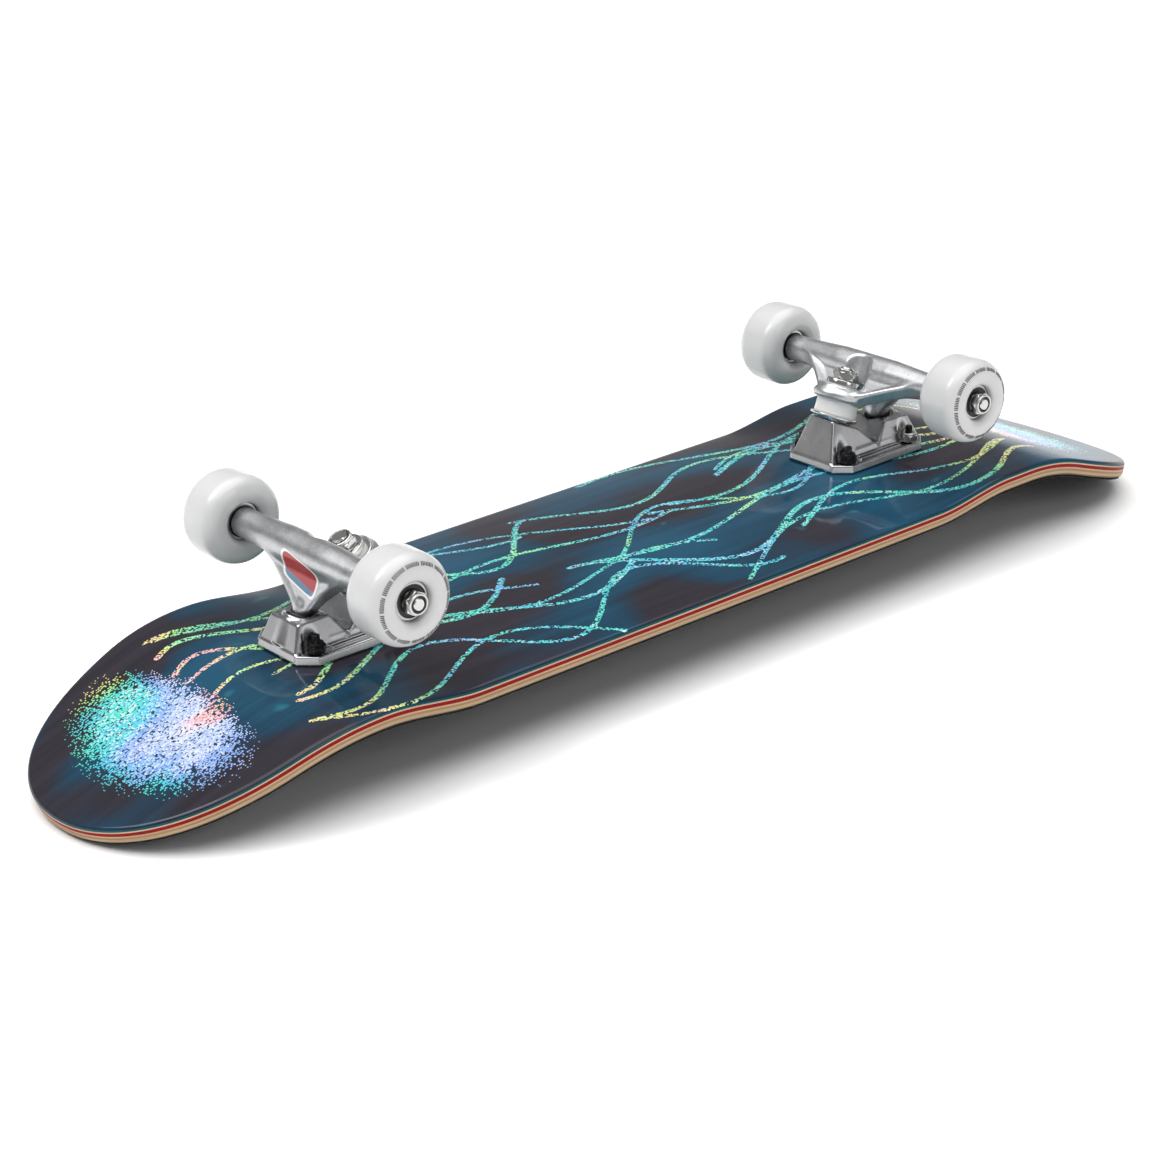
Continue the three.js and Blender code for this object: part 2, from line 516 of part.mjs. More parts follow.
/** The hanger: an axle tube, a winged yoke round the kingpin and a V-shaped web down to the pivot pin. */
function hanger() {
  const axle = new THREE.Vector3(AXLE_OUTBOARD, 0, AXLE_HEIGHT);
  const yoke = fromFrame(kingpinFrame, 0, 0, (YOKE_WEB_LOW + YOKE_WEB_HIGH) / 2);
  const pinTop = fromFrame(pivotFrame, 0, 0, PIVOT_PIN_RADIUS);
  const wingReach = yoke.distanceTo(axle);
  const webReach = pinTop.distanceTo(axle);

  const tube = turned([
    [0, -HANGER_HALF], [HANGER_END_RADIUS, -HANGER_HALF], [HANGER_END_RADIUS, -WING_HALF_SPAN],
    [HANGER_MIDDLE_RADIUS, -WING_HALF_SPAN / 2], [HANGER_MIDDLE_RADIUS, WING_HALF_SPAN / 2],
    [HANGER_END_RADIUS, WING_HALF_SPAN], [HANGER_END_RADIUS, HANGER_HALF], [0, HANGER_HALF],
  ], STACK_SIDES).rotateX(Math.PI / 2).translate(AXLE_OUTBOARD, 0, AXLE_HEIGHT);

  const [wingEnd, wingBend] = [wingReach + WING_SWEEP.past, wingReach - WING_SWEEP.back];
  const wingWaist = WING_HALF_SPAN - WING_SWEEP.narrower;
  const [yokeSwell, yokeRoot] = [YOKE_RADIUS + YOKE_SWEEP.wider, YOKE_RADIUS - YOKE_SWEEP.narrower];
  const wings = new THREE.Shape()
    .moveTo(wingEnd, -WING_HALF_SPAN)
    .lineTo(wingEnd, WING_HALF_SPAN)
    .bezierCurveTo(wingBend, wingWaist, YOKE_RADIUS, yokeSwell, 0, yokeRoot)
    .lineTo(0, -yokeRoot)
    .bezierCurveTo(YOKE_RADIUS, -yokeSwell, wingBend, -wingWaist, wingEnd, -WING_HALF_SPAN);

  const [shoulderDown, shoulderHalf] = [webReach * WEB_SHOULDER.down, WING_HALF_SPAN * WEB_SHOULDER.wide];
  const [waistDown, waistHalf] = [webReach * WEB_WAIST.down, PIVOT_PIN_RADIUS * WEB_WAIST.wide];
  const web = new THREE.Shape()
    .moveTo(0, -WING_HALF_SPAN)
    .lineTo(0, WING_HALF_SPAN)
    .bezierCurveTo(shoulderDown, shoulderHalf, waistDown, waistHalf, webReach, PIVOT_PIN_RADIUS)
    .lineTo(webReach, -PIVOT_PIN_RADIUS)
    .bezierCurveTo(waistDown, -waistHalf, shoulderDown, -shoulderHalf, 0, -WING_HALF_SPAN);

  const tip = PIVOT_CUP_WALL - PIVOT_CUP_DEPTH + PIVOT_PIN_ROOM;
  const round = PIVOT_PIN_RADIUS * PIVOT_PIN_ROUND;
  const bevel = round * (2 - Math.SQRT2); // where a round of radius 2 * round turns through 45 degrees
  const pin = turned([
    [0, tip], [PIVOT_PIN_RADIUS - round * 2, tip], [PIVOT_PIN_RADIUS - bevel, tip + bevel],
    [PIVOT_PIN_RADIUS, tip + round * 2], [PIVOT_PIN_RADIUS, PIVOT_PIN_RADIUS * 2], [0, PIVOT_PIN_RADIUS * 2],
  ], PIN_SIDES).applyMatrix4(pivotFrame);

  const yokeLow = YOKE_WEB_LOW - YOKE_SEAT_DEPTH;
  const body = joined([
    tube,
    slab(wings, yoke, axle, WING_THICKNESS),
    slab(web, axle, pinTop, WEB_THICKNESS),
    pin,
    bar(YOKE_RADIUS, yokeLow, YOKE_WEB_HIGH + YOKE_CUP_DEPTH, STACK_SIDES).applyMatrix4(kingpinFrame),
  ]);
  return geometryOf(cut(body, [
    bar(around(YOKE_HOLE_RADIUS, PIN_SIDES), -THROUGH, THROUGH, PIN_SIDES).applyMatrix4(kingpinFrame),
    bar(around(BOARDSIDE_BUSHING_RADIUS + TURNED_GAP, STACK_SIDES), 0, YOKE_WEB_LOW, STACK_SIDES)
      .applyMatrix4(kingpinFrame),
    bar(NUT_SCOOP_RADIUS, YOKE_WEB_HIGH, THROUGH, STACK_SIDES).applyMatrix4(kingpinFrame),
    bar(AXLE_BORE, -AXLE_LENGTH, AXLE_LENGTH, PIN_SIDES).rotateX(Math.PI / 2)
      .translate(AXLE_OUTBOARD, 0, AXLE_HEIGHT),
  ]));
}

/** A truck's fixed pieces and its hanger. */
function truck(end) {
  const group = new THREE.Group();
  const onKingpin = new THREE.Group();
  onKingpin.applyMatrix4(kingpinFrame);
  const nut = hexNut(KINGPIN_NUT_FLATS, KINGPIN_NUT_HEIGHT, KINGPIN_RADIUS + SEAT_CLEARANCE, KINGPIN_NUT_LOW);
  onKingpin.add(
    piece(`${end}_kingpin`, kingpin(), PLATED_STEEL),
    piece(`${end}_cup_washer`, cupWasher(), PLATED_STEEL),
    piece(`${end}_boardside_bushing`,
      ring(PIN_HOLE, BOARDSIDE_BUSHING_RADIUS, BOARDSIDE_LOW, BOARDSIDE_HIGH, STACK_SIDES), WHITE_RUBBER),
    piece(`${end}_roadside_bushing`, roadsideBushing(), WHITE_RUBBER),
    piece(`${end}_top_washer`,
      ring(PIN_HOLE, TOP_WASHER_RADIUS, TOP_WASHER_LOW, TOP_WASHER_HIGH, STACK_SIDES), PLATED_STEEL),
    piece(`${end}_kingpin_nut`, nut, PLATED_STEEL),
  );
  const inPivot = new THREE.Group();
  inPivot.applyMatrix4(pivotFrame);
  inPivot.add(piece(`${end}_pivot_cup`, pivotCup(), BLACK_PLASTIC));
  group.add(
    piece(`${end}_baseplate`, baseplate(), POLISHED_ALUMINIUM),
    piece(`${end}_hanger`, hanger(), CAST_ALUMINIUM),
    onKingpin,
    inPivot,
  );
  return group;
}

// ---------------------------------------------------------------- axles, wheels and bearings

const INNER_BEARING = -BEARING_SPACER_LENGTH / 2 - BEARING_WIDTH;
const OUTER_BEARING = BEARING_SPACER_LENGTH / 2;
const WHEEL_SIDES = 24;
const BEARING_SIDES = 12;

/** A wheel about Z: round shoulders, a flat hub face and a bearing seat in each end. */
function wheel() {
  const half = WHEEL_WIDTH / 2;
  const seat = around(BEARING_RADIUS + SEAT_CLEARANCE, WHEEL_SIDES);
  const seatFloor = BEARING_SPACER_LENGTH / 2 - REST_GAP;
  const rounding = [0, 1, 2].map((i) => {
    const angle = (i * Math.PI) / 4;
    const radius = WHEEL_RADIUS - WHEEL_EDGE_RADIUS + WHEEL_EDGE_RADIUS * Math.sin(angle);
    return [radius, half - WHEEL_EDGE_RADIUS + WHEEL_EDGE_RADIUS * Math.cos(angle)];
  });
  return turned([
    [seat, -seatFloor], [seat, HUB_MOUTH_DEPTH - half], [HUB_FACE_RADIUS, HUB_FACE_DEPTH - half],
    ...rounding.map(([radius, height]) => [radius, -height]),
    ...rounding.toReversed(),
    [HUB_FACE_RADIUS, half - HUB_FACE_DEPTH], [seat, half - HUB_MOUTH_DEPTH], [seat, seatFloor],
    [WHEEL_CORE_RADIUS, seatFloor], [WHEEL_CORE_RADIUS, -seatFloor], [seat, -seatFloor],
  ], WHEEL_SIDES);
}

/** A bearing about Z, standing on z = 0. */
function bearing() {
  const bore = around(AXLE_RADIUS + BEARING_BORE_CLEARANCE, BEARING_SIDES);
  return ring(bore, BEARING_RADIUS, 0, BEARING_WIDTH, BEARING_SIDES);
}

/** One side of an axle: the wheel and all that sits on the axle beside it, +Z outwards along the axle. */
function axleSide(name) {
  const group = new THREE.Group();
  const inner = piece(`${name}_inner_bearing`, bearing(), BLACK_STEEL);
  const outer = piece(`${name}_outer_bearing`, bearing(), BLACK_STEEL);
  inner.position.z = INNER_BEARING;
  outer.position.z = OUTER_BEARING;
  const spacerHalf = BEARING_SPACER_LENGTH / 2 - REST_GAP;
  const nutLow = OUTER_BEARING + BEARING_WIDTH + SPEED_WASHER_ROOM;
  group.add(
    piece(`${name}_wheel`, wheel(), WHITE_URETHANE),
    inner,
    outer,
    piece(`${name}_bearing_spacer`,
      ring(AXLE_BORE, BEARING_SPACER_RADIUS, -spacerHalf, spacerHalf, BEARING_SIDES), PLATED_STEEL),
    piece(`${name}_axle_nut`, hexNut(AXLE_NUT_FLATS, AXLE_NUT_HEIGHT, AXLE_RADIUS + SEAT_CLEARANCE, nutLow),
      PLATED_STEEL),
  );
  return group;
}

for (const [end, side] of [['tail', -1], ['nose', 1]]) {
  const group = truck(end);
  group.position.x = side * TRUCK_CENTRE;
  if (side < 0) group.rotation.z = Math.PI;
  board.add(group);

  const axleX = side * (TRUCK_CENTRE + AXLE_OUTBOARD);
  const rod = bar(AXLE_RADIUS, -AXLE_LENGTH / 2, AXLE_LENGTH / 2, PIN_SIDES);
  const axle = piece(`${end}_axle`, rod, PLATED_STEEL);
  axle.rotation.x = Math.PI / 2;
  axle.position.set(axleX, 0, AXLE_HEIGHT);
  board.add(axle);

  for (const [edge, acrossSide] of [['left', 1], ['right', -1]]) {
    const group = axleSide(`${end}_${edge}`);
    group.rotation.x = (-acrossSide * Math.PI) / 2;
    group.position.set(axleX, (acrossSide * TRACK) / 2, AXLE_HEIGHT);
    board.add(group);
  }
}

// ---------------------------------------------------------------- standing on the floor

const box = new THREE.Box3().setFromObject(board, true);
board.position.set(-(box.min.x + box.max.x) / 2, 0, -box.min.z);

const skateboard = new THREE.Group();
skateboard.add(board);

export default skateboard;
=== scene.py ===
import logging
import math
from dataclasses import dataclass
from enum import Enum
from typing import Any, Callable

import bmesh
import bpy
import numpy as np
from mathutils import Matrix, Vector


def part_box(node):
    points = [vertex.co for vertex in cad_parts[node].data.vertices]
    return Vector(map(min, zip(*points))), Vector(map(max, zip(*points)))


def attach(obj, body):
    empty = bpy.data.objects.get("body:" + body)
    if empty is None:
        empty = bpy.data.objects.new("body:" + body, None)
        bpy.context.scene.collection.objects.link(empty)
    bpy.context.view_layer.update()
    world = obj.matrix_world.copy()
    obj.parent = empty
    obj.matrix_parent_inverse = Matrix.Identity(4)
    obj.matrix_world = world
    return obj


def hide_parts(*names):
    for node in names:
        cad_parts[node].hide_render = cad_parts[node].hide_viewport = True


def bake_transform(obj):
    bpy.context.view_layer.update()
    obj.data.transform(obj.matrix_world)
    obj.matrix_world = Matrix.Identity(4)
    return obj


# A complete street skateboard, wheels up on its nose and tail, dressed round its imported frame.
# Sizes are millimetres, as on a maker's drawing. Meshes are metres, in the frame's own axes:
# +X to the nose, +Y across the deck, +Z up, the origin on the floor midway along the board.

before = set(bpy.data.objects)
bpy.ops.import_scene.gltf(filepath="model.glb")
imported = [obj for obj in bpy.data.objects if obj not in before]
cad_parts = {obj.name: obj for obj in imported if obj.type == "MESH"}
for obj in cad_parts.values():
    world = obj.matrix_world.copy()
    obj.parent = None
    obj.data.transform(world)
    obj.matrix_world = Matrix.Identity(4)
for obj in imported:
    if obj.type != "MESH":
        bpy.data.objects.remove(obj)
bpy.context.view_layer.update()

MM = 0.001
BOLT_SPACING = (53.98, 41.28)  # along the board and across it
AXLE_RADIUS = 3.97
LOG = logging.getLogger("skateboard")

Corner = tuple[float, float]
Point = tuple[float, float, float]
Colour = tuple[float, float, float]
Solid = Callable[[np.ndarray], np.ndarray]
Rule = Callable[[np.ndarray, np.ndarray, np.ndarray], np.ndarray]


# ------------------------------------------------------------------ node trees


class Value:
    """A node's output that reads like a number: its operators add Math nodes to its tree."""

    def __init__(self, nodes: "Nodes", socket: bpy.types.NodeSocket) -> None:
        """Wraps a socket.

        Args:
            nodes: The tree that new Math nodes go into.
            socket: The output socket.
        """
        self.nodes = nodes
        self.socket = socket

    def __add__(self, other: "Value | float") -> "Value":
        """The sum."""
        return self.nodes.math("ADD", self, other)

    __radd__ = __add__

    def __sub__(self, other: "Value | float") -> "Value":
        """The difference."""
        return self.nodes.math("SUBTRACT", self, other)

    def __rsub__(self, other: float) -> "Value":
        """The difference from a number."""
        return self.nodes.math("SUBTRACT", other, self)

    def __mul__(self, other: "Value | float") -> "Value":
        """The product."""
        return self.nodes.math("MULTIPLY", self, other)

    __rmul__ = __mul__

    def __truediv__(self, other: "Value | float") -> "Value":
        """The quotient."""
        return self.nodes.math("DIVIDE", self, other)

    def __pow__(self, other: "Value | float") -> "Value":
        """The power."""
        return self.nodes.math("POWER", self, other)

    def __neg__(self) -> "Value":
        """The negative."""
        return self.nodes.math("MULTIPLY", self, -1.0)

    def __abs__(self) -> "Value":
        """The size without its sign."""
        return self.nodes.math("ABSOLUTE", self)

    def least(self, other: "Value | float") -> "Value":
        """The smaller of two."""
        return self.nodes.math("MINIMUM", self, other)

    def most(self, other: "Value | float") -> "Value":
        """The larger of two."""
        return self.nodes.math("MAXIMUM", self, other)

    def step(self, low: float, high: float) -> "Value":
        """A smooth step: 0 below `low` and 1 above `high`, or the reverse where `low` is larger."""
        values = {"Value": self, "From Min": low, "From Max": high}
        return self.nodes.add("ShaderNodeMapRange", {"interpolation_type": "SMOOTHSTEP"}, values)


class Nodes:
    """A node tree, and the one method that adds nodes to it."""

    def __init__(self, tree: bpy.types.NodeTree) -> None:
        """Wraps a tree.

        Args:
            tree: A shader or geometry tree.
        """
        self.tree = tree

    def add(
        self,
        kind: str,
        settings: dict[str, Any] | None = None,
        values: dict[str | int, Any] | None = None,
        out: int | str = 0,
    ) -> Value:
        """Adds a node.

        Args:
            kind: The node's type.
            settings: The node's own properties, set first. "stops" are a ramp's (place, colour) pairs.
            values: Values or links of its inputs, by name or by place.
            out: The output to hand back.

        Returns:
            The chosen output.
        """
        node = self.tree.nodes.new(kind)
        for name, setting in (settings or {}).items():
            if name == "stops":
                self._stops(node.color_ramp, setting)
            else:
                setattr(node, name, setting)
        for name, value in (values or {}).items():
            if isinstance(value, Value):
                self.tree.links.new(value.socket, node.inputs[name])
            else:
                node.inputs[name].default_value = value
        outputs = node.outputs
        return Value(self, outputs[out]) if len(outputs) else Value(self, None)

    @staticmethod
    def _stops(ramp: bpy.types.ColorRamp, stops: list[tuple[float, Colour]]) -> None:
        """Sets a ramp's stops.

        Args:
            ramp: The ramp.
            stops: (place, colour) pairs, in order.
        """
        while len(ramp.elements) < len(stops):
            ramp.elements.new(1.0)
        for element, (place, colour) in zip(ramp.elements, stops):
            element.position = place
            element.color = (*colour, 1.0)

    def math(self, operation: str, *numbers: "Value | float") -> Value:
        """A Math node over one or two numbers."""
        return self.add("ShaderNodeMath", {"operation": operation}, dict(enumerate(numbers)))

    def mix(self, factor: Value, first: "Value | Colour", second: "Value | Colour") -> Value:
        """A colour that goes from the first to the second as the factor goes from 0 to 1."""
        first, second = ((*c, 1.0) if isinstance(c, tuple) else c for c in (first, second))
        return self.add("ShaderNodeMix", {"data_type": "RGBA"}, {0: factor, 6: first, 7: second}, 2)

    def ramp(self, factor: Value, stops: list[tuple[float, Colour]], mode: str = "LINEAR") -> Value:
        """A colour ramp over a factor."""
        node = self.add("ShaderNodeValToRGB", {"stops": stops}, {0: factor})
        node.socket.node.color_ramp.interpolation = mode
        return node

    def noise(self, where: Value, scale: float, detail: float = 2.0, roughness: float = 0.5) -> Value:
        """Cloudy noise, mostly from 0.3 to 0.7."""
        values = {"Vector": where, "Scale": scale, "Detail": detail, "Roughness": roughness}
        return self.add("ShaderNodeTexNoise", {}, values)

    def combined(self, values: dict[int, "Value | float"]) -> Value:
        """A vector from some of its three parts, by their places."""
        return self.add("ShaderNodeCombineXYZ", {}, values)

    def parts(self, vector: Value) -> list[Value]:
        """The three parts of a vector."""
        outputs = self.add("ShaderNodeSeparateXYZ", {}, {0: vector}).socket.node.outputs
        return [Value(self, outputs[i]) for i in range(3)]

    def stretched(self, where: Value, scale: Point) -> Value:
        """A pattern's coordinates stretched along each axis."""
        return self.add("ShaderNodeMapping", {}, {"Vector": where, "Scale": scale})

    def bump(self, height: Value, distance: float, strength: float = 1.0) -> Value:
        """A normal that follows a height, whose full range is `distance` metres deep."""
        return self.add("ShaderNodeBump", {}, {"Height": height, "Distance": distance, "Strength": strength})


class Skin:
    """A material under construction: its nodes, its object coordinates and its shader."""

    def __init__(self, name: str, **constants: float | Colour) -> None:
        """Starts a material.

        Args:
            name: The finish's name.
            constants: Shader sockets that are the same all over, with _ for a space.
        """
        self.material = bpy.data.materials.new(name)
        self.material.use_nodes = True
        self.nodes = Nodes(self.material.node_tree)
        self.shader = self.material.node_tree.nodes["Principled BSDF"]
        self.place = self.nodes.add("ShaderNodeTexCoord", out="Object")
        for socket, value in constants.items():
            wide = (*value, 1.0) if isinstance(value, tuple) else value
            self.shader.inputs[socket.replace("_", " ")].default_value = wide

    def feed(self, **links: Value) -> bpy.types.Material:
        """Links patterns to the shader.

        Args:
            links: Shader sockets with _ for a space, and what feeds each.

        Returns:
            The finished material.
        """
        for socket, value in links.items():
            self.nodes.tree.links.new(value.socket, self.shader.inputs[socket.replace("_", " ")])
        return self.material

    def attribute(self, name: str, out: str = "Fac") -> Value:
        """A named attribute of the piece."""
        return self.nodes.add("ShaderNodeAttribute", {"attribute_name": name}, out=out)


# ------------------------------------------------------------------ finishes


@dataclass(frozen=True)
class CastMetal:
    """Tumbled cast aluminium: fine sand grain, soft mottling and a few bright rubbed spots."""

    colour: Colour = (0.53, 0.535, 0.545)
    roughness: float = 0.36
    grain: float = 1500.0
    grain_depth: float = 0.00005

    def material(self) -> bpy.types.Material:
        """Builds the material."""
        skin = Skin("cast_aluminium", Metallic=1.0)
        n = skin.nodes
        grain = n.noise(skin.place, self.grain, 3.0, 0.6)
        cloud = n.noise(skin.place, 85.0, 3.0, 0.6)
        dark = tuple(0.80 * c for c in self.colour)
        bright = tuple(1.20 * c for c in self.colour)
        tone = n.mix((0.35 * cloud + 0.65 * grain).step(0.32, 0.68), dark, bright)
        roughness = self.roughness + 0.35 * (grain - 0.5) + 0.12 * (cloud - 0.5)
        return skin.feed(Base_Color=tone, Roughness=roughness, Normal=n.bump(grain, self.grain_depth, 0.8))


@dataclass(frozen=True)
class PolishedMetal:
    """Vibration-polished aluminium or plated steel, with faint smears and hairlines."""

    name: str
    colour: Colour
    roughness: float
    smear: float = 0.12
    hairline_depth: float = 0.000006

    def material(self) -> bpy.types.Material:
        """Builds the material."""
        skin = Skin(self.name, Metallic=1.0)
        n = skin.nodes
        cloud = n.noise(skin.place, 60.0, 3.0, 0.6)
        hairline = n.noise(n.stretched(skin.place, (260.0, 2600.0, 2600.0)), 1.0, 2.0)
        tone = n.mix(cloud.step(0.3, 0.7), tuple(0.86 * c for c in self.colour), self.colour)
        roughness = self.roughness + self.smear * (cloud - 0.45) + self.smear * 0.5 * (hairline - 0.5)
        return skin.feed(
            Base_Color=tone, Roughness=roughness, Normal=n.bump(hairline, self.hairline_depth, 0.6)
        )


@dataclass(frozen=True)
class BlackSteel:
    """Black-oxide steel, with a little bare metal showing through."""

    colour: Colour = (0.012, 0.012, 0.013)
    worn: Colour = (0.09, 0.09, 0.092)
    roughness: float = 0.32

    def material(self) -> bpy.types.Material:
        """Builds the material."""
        skin = Skin("black_steel", Metallic=0.75)
        n = skin.nodes
        rub = n.noise(skin.place, 420.0, 4.0, 0.65)
        tone = n.mix(rub.step(0.52, 0.74), self.colour, self.worn)
        return skin.feed(
            Base_Color=tone, Roughness=self.roughness + 0.35 * (rub - 0.5), Normal=n.bump(rub, 0.00002, 0.5)
        )


@dataclass(frozen=True)
class Moulded:
    """A poured or moulded plastic: urethane, nylon or rubber."""

    name: str
    colour: Colour
    roughness: float
    mottle: float = 0.04
    scale: float = 240.0
    depth: float = 0.000012
    coat: float = 0.0
    scattering: float = 0.0

    def material(self) -> bpy.types.Material:
        """Builds the material."""
        skin = Skin(self.name, Coat_Weight=self.coat, Coat_Roughness=0.16, Subsurface_Weight=self.scattering)
        skin.shader.inputs["Subsurface Radius"].default_value = (0.004, 0.0035, 0.003)
        n = skin.nodes
        cloud = n.noise(skin.place, self.scale, 4.0, 0.6)
        tone = n.mix(cloud.step(0.3, 0.7), tuple(c * (1.0 - self.mottle) for c in self.colour), self.colour)
        return skin.feed(
            Base_Color=tone,
            Roughness=self.roughness + self.mottle * 2.0 * (cloud - 0.5),
            Normal=n.bump(cloud, self.depth, 0.6),
        )


@dataclass(frozen=True)
class GripTape:
    """Silicon-carbide grip tape: black grit with scattered sparkling grains."""

    colour: Colour = (0.009, 0.009, 0.010)
    glint: Colour = (0.16, 0.16, 0.17)
    grit: float = 2600.0

    def material(self) -> bpy.types.Material:
        """Builds the material."""
        skin = Skin("grip_tape", Specular_IOR_Level=0.4)
        n = skin.nodes
        grains = n.add("ShaderNodeTexVoronoi", {}, {"Vector": skin.place, "Scale": self.grit})
        chance = n.noise(skin.place, self.grit, 1.0)
        spark = chance.step(0.66, 0.72)
        return skin.feed(
            Base_Color=n.mix(spark, self.colour, self.glint),
            Roughness=0.95 - 0.5 * spark,
            Normal=n.bump(grains, 0.00022, 1.0),
        )


@dataclass(frozen=True)
class PrintedMaple:
    """Seven maple plies under a lacquered print: clouded plum and blue with stippled holographic foil.

    The piece carries four attributes, the first two in millimetres. "sheet" is the place on the flat
    blank, with the depth below the printed face as its third number. "streamer" is the distance outside
    the nearest foil streamer. "glow" is how densely the oval at each end is stippled, and "hue" is the
    place in the foil's rainbow.
    """

    plum: Colour = (0.015, 0.012, 0.019)
    plum_light: Colour = (0.026, 0.021, 0.031)
    teal: Colour = (0.0025, 0.031, 0.062)
    ocean: Colour = (0.005, 0.062, 0.118)
    stipple: float = 0.82
    line_cover: float = 0.80
    ply_edge: float = 0.25

    def _plies(self, n: Nodes, depth: Value, sheet: Value) -> Value:
        """The stripes of the deck's edge, from the print down, with the grain along each ply; its last two
        stripes are painted shade along the bottom of the edge.
        """
        grain = n.noise(n.stretched(sheet, (0.02, 0.05, 2.4)), 1.0, 3.0, 0.6)
        wander = depth + 0.25 * (n.noise(n.stretched(sheet, (0.01, 0.01, 0.0)), 1.0) - 0.5)
        stops = [
            (0.0, (0.006, 0.010, 0.022)),
            (0.10, (0.008, 0.085, 0.115)),
            (0.20, (0.66, 0.50, 0.33)),
            (0.275, (0.30, 0.004, 0.004)),
            (0.47, (0.62, 0.41, 0.27)),
            (0.56, (0.40, 0.25, 0.13)),
            (0.68, (0.54, 0.40, 0.25)),
            # Painted shade: these two stops darken the lowest plies to dark brown and then near black, for
            # the shade under the edge.
            (0.84, (0.22, 0.15, 0.09)),
            (0.93, (0.03, 0.025, 0.02)),
        ]
        ply_stripes_and_shade = n.ramp(wander / 10.8, stops, "CONSTANT")
        darker = n.mix(grain.step(0.35, 0.75), (0.72, 0.70, 0.68), (1.0, 1.0, 1.0))
        return n.add(
            "ShaderNodeMix", {"data_type": "RGBA", "blend_type": "MULTIPLY"}, {0: 1.0, 6: ply_stripes_and_shade, 7: darker},
            2
        )

    def _ground(self, n: Nodes, sheet: Value) -> Value:
        """The print's dark ground: soft clouds of plum and deep blue, faintly brushed along the board."""
        patches = n.noise(n.stretched(sheet, (0.0085, 0.0125, 0.0)), 1.0, 1.5, 0.4)
        strokes = n.noise(n.stretched(sheet, (0.005, 0.11, 0.0)), 1.0, 3.0, 0.55)
        lights = n.noise(n.stretched(sheet, (0.042, 0.055, 0.0)), 1.0, 1.0)
        plum = n.mix(strokes.step(0.3, 0.75), self.plum, self.plum_light)
        blue = n.mix((0.25 * strokes + 0.75 * patches).step(0.46, 0.66), self.teal, self.ocean)
        ground = n.mix((patches + 0.07 * (strokes - 0.5)).step(0.43, 0.54), plum, blue)
        return n.mix(lights.step(0.72, 0.82) * 0.6, ground, (0.02, 0.17, 0.21))

    def _foil(self, n: Nodes, sheet: Value, hue: Value) -> Value:
        """The foil's rainbow, drifting a little over the board."""
        drift = n.noise(n.stretched(sheet, (0.016, 0.024, 0.0)), 1.0, 2.0)
        stops = [
            (0.00, (0.62, 0.66, 0.92)),
            (0.16, (0.26, 0.42, 0.86)),
            (0.34, (0.10, 0.58, 0.72)),
            (0.50, (0.10, 0.70, 0.56)),
            (0.64, (0.36, 0.82, 0.30)),
            (0.76, (0.84, 0.76, 0.26)),
            (0.88, (0.90, 0.46, 0.46)),
            (1.00, (0.62, 0.66, 0.92)),
        ]
        return n.ramp(n.math("FRACT", hue + 1.1 * (drift - 0.5) + 1.0), stops)

    def material(self) -> bpy.types.Material:
        """Builds the material."""
        skin = Skin("printed_maple", Coat_Roughness=0.05, Coat_IOR=1.45, Specular_IOR_Level=0.1)
        n = skin.nodes
        sheet = skin.attribute("sheet", "Vector")
        depth = n.add("ShaderNodeSeparateXYZ", {}, {0: sheet}, "Z")
        flat = n.stretched(sheet, (1.0, 1.0, 0.0))
        edge = depth.step(0.7, 0.7 + self.ply_edge)
        dots = n.add(
            "ShaderNodeTexVoronoi", {"voronoi_dimensions": "2D"}, {"Vector": flat, "Scale": self.stipple}
        )
        chance = n.add("ShaderNodeSeparateColor", {}, {0: Value(n, dots.socket.node.outputs["Color"])})
        ragged = n.noise(flat, 0.5, 2.0)
        line = (skin.attribute("streamer") + 1.2 * (ragged - 0.5)).step(0.3, -0.3)
        cover = (line * self.line_cover).most(skin.attribute("glow"))
        dot = (0.26 + 0.42 * cover - dots).step(-0.05, 0.05)
        foil = dot * (cover - chance).step(0.0, 0.03) * (1.0 - edge)
        ink = n.mix(
            chance.step(0.55, 0.75) * 0.55, self._foil(n, sheet, skin.attribute("hue")), (0.86, 0.90, 0.92)
        )
        face = n.mix(foil, self._ground(n, sheet), ink)
        colour = n.mix(edge, face, self._plies(n, depth, sheet))
        orange_peel = n.noise(flat, 0.10, 1.0)
        return skin.feed(
            Base_Color=colour,
            Roughness=0.42 + 0.1 * edge - 0.08 * foil,
            Metallic=0.2 * foil,
            Coat_Weight=0.5 - 0.4 * depth.step(1.2, 1.8),
            Normal=n.bump(orange_peel, 0.00006, 0.25),
        )


@dataclass(frozen=True)
class Label:
    """A plain printed label: a red field, a pale border and a blue bar, by the piece's "inside" and "bar"
    attributes.
    """

    red: Colour = (0.40, 0.006, 0.012)
    border: Colour = (0.86, 0.85, 0.85)
    blue: Colour = (0.06, 0.17, 0.30)

    def material(self) -> bpy.types.Material:
        """Builds the material."""
        skin = Skin("label", Coat_Weight=0.5, Coat_Roughness=0.2)
        n = skin.nodes
        inside = skin.attribute("inside")
        bar = skin.attribute("bar")
        fibre = n.noise(skin.place, 900.0, 3.0)
        field = n.mix(bar.step(-0.12, 0.12), self.red, self.blue)
        tone = n.mix(inside.step(0.95, 1.15), self.border, field)
        return skin.feed(
            Base_Color=tone, Roughness=0.4 + 0.2 * (fibre - 0.5), Normal=n.bump(fibre, 0.00001, 0.5)
        )


class Finish(Enum):
    """Every finish on the board, by the maker's name for it."""

    PRINT = "printed_maple"
    GRIP = "grip_tape"
    CAST = "cast_aluminium"
    POLISHED = "polished_aluminium"
    PLATED = "plated_steel"
    BLACK = "black_steel"
    BEARING = "bearing_steel"
    SHIELD = "bearing_shield"
    WHEEL = "wheel_urethane"
    MARKS = "wheel_print"
    BUSHING = "bushing_urethane"
    PIVOT = "pivot_urethane"
    NYLON = "nut_nylon"
    LABEL = "label"


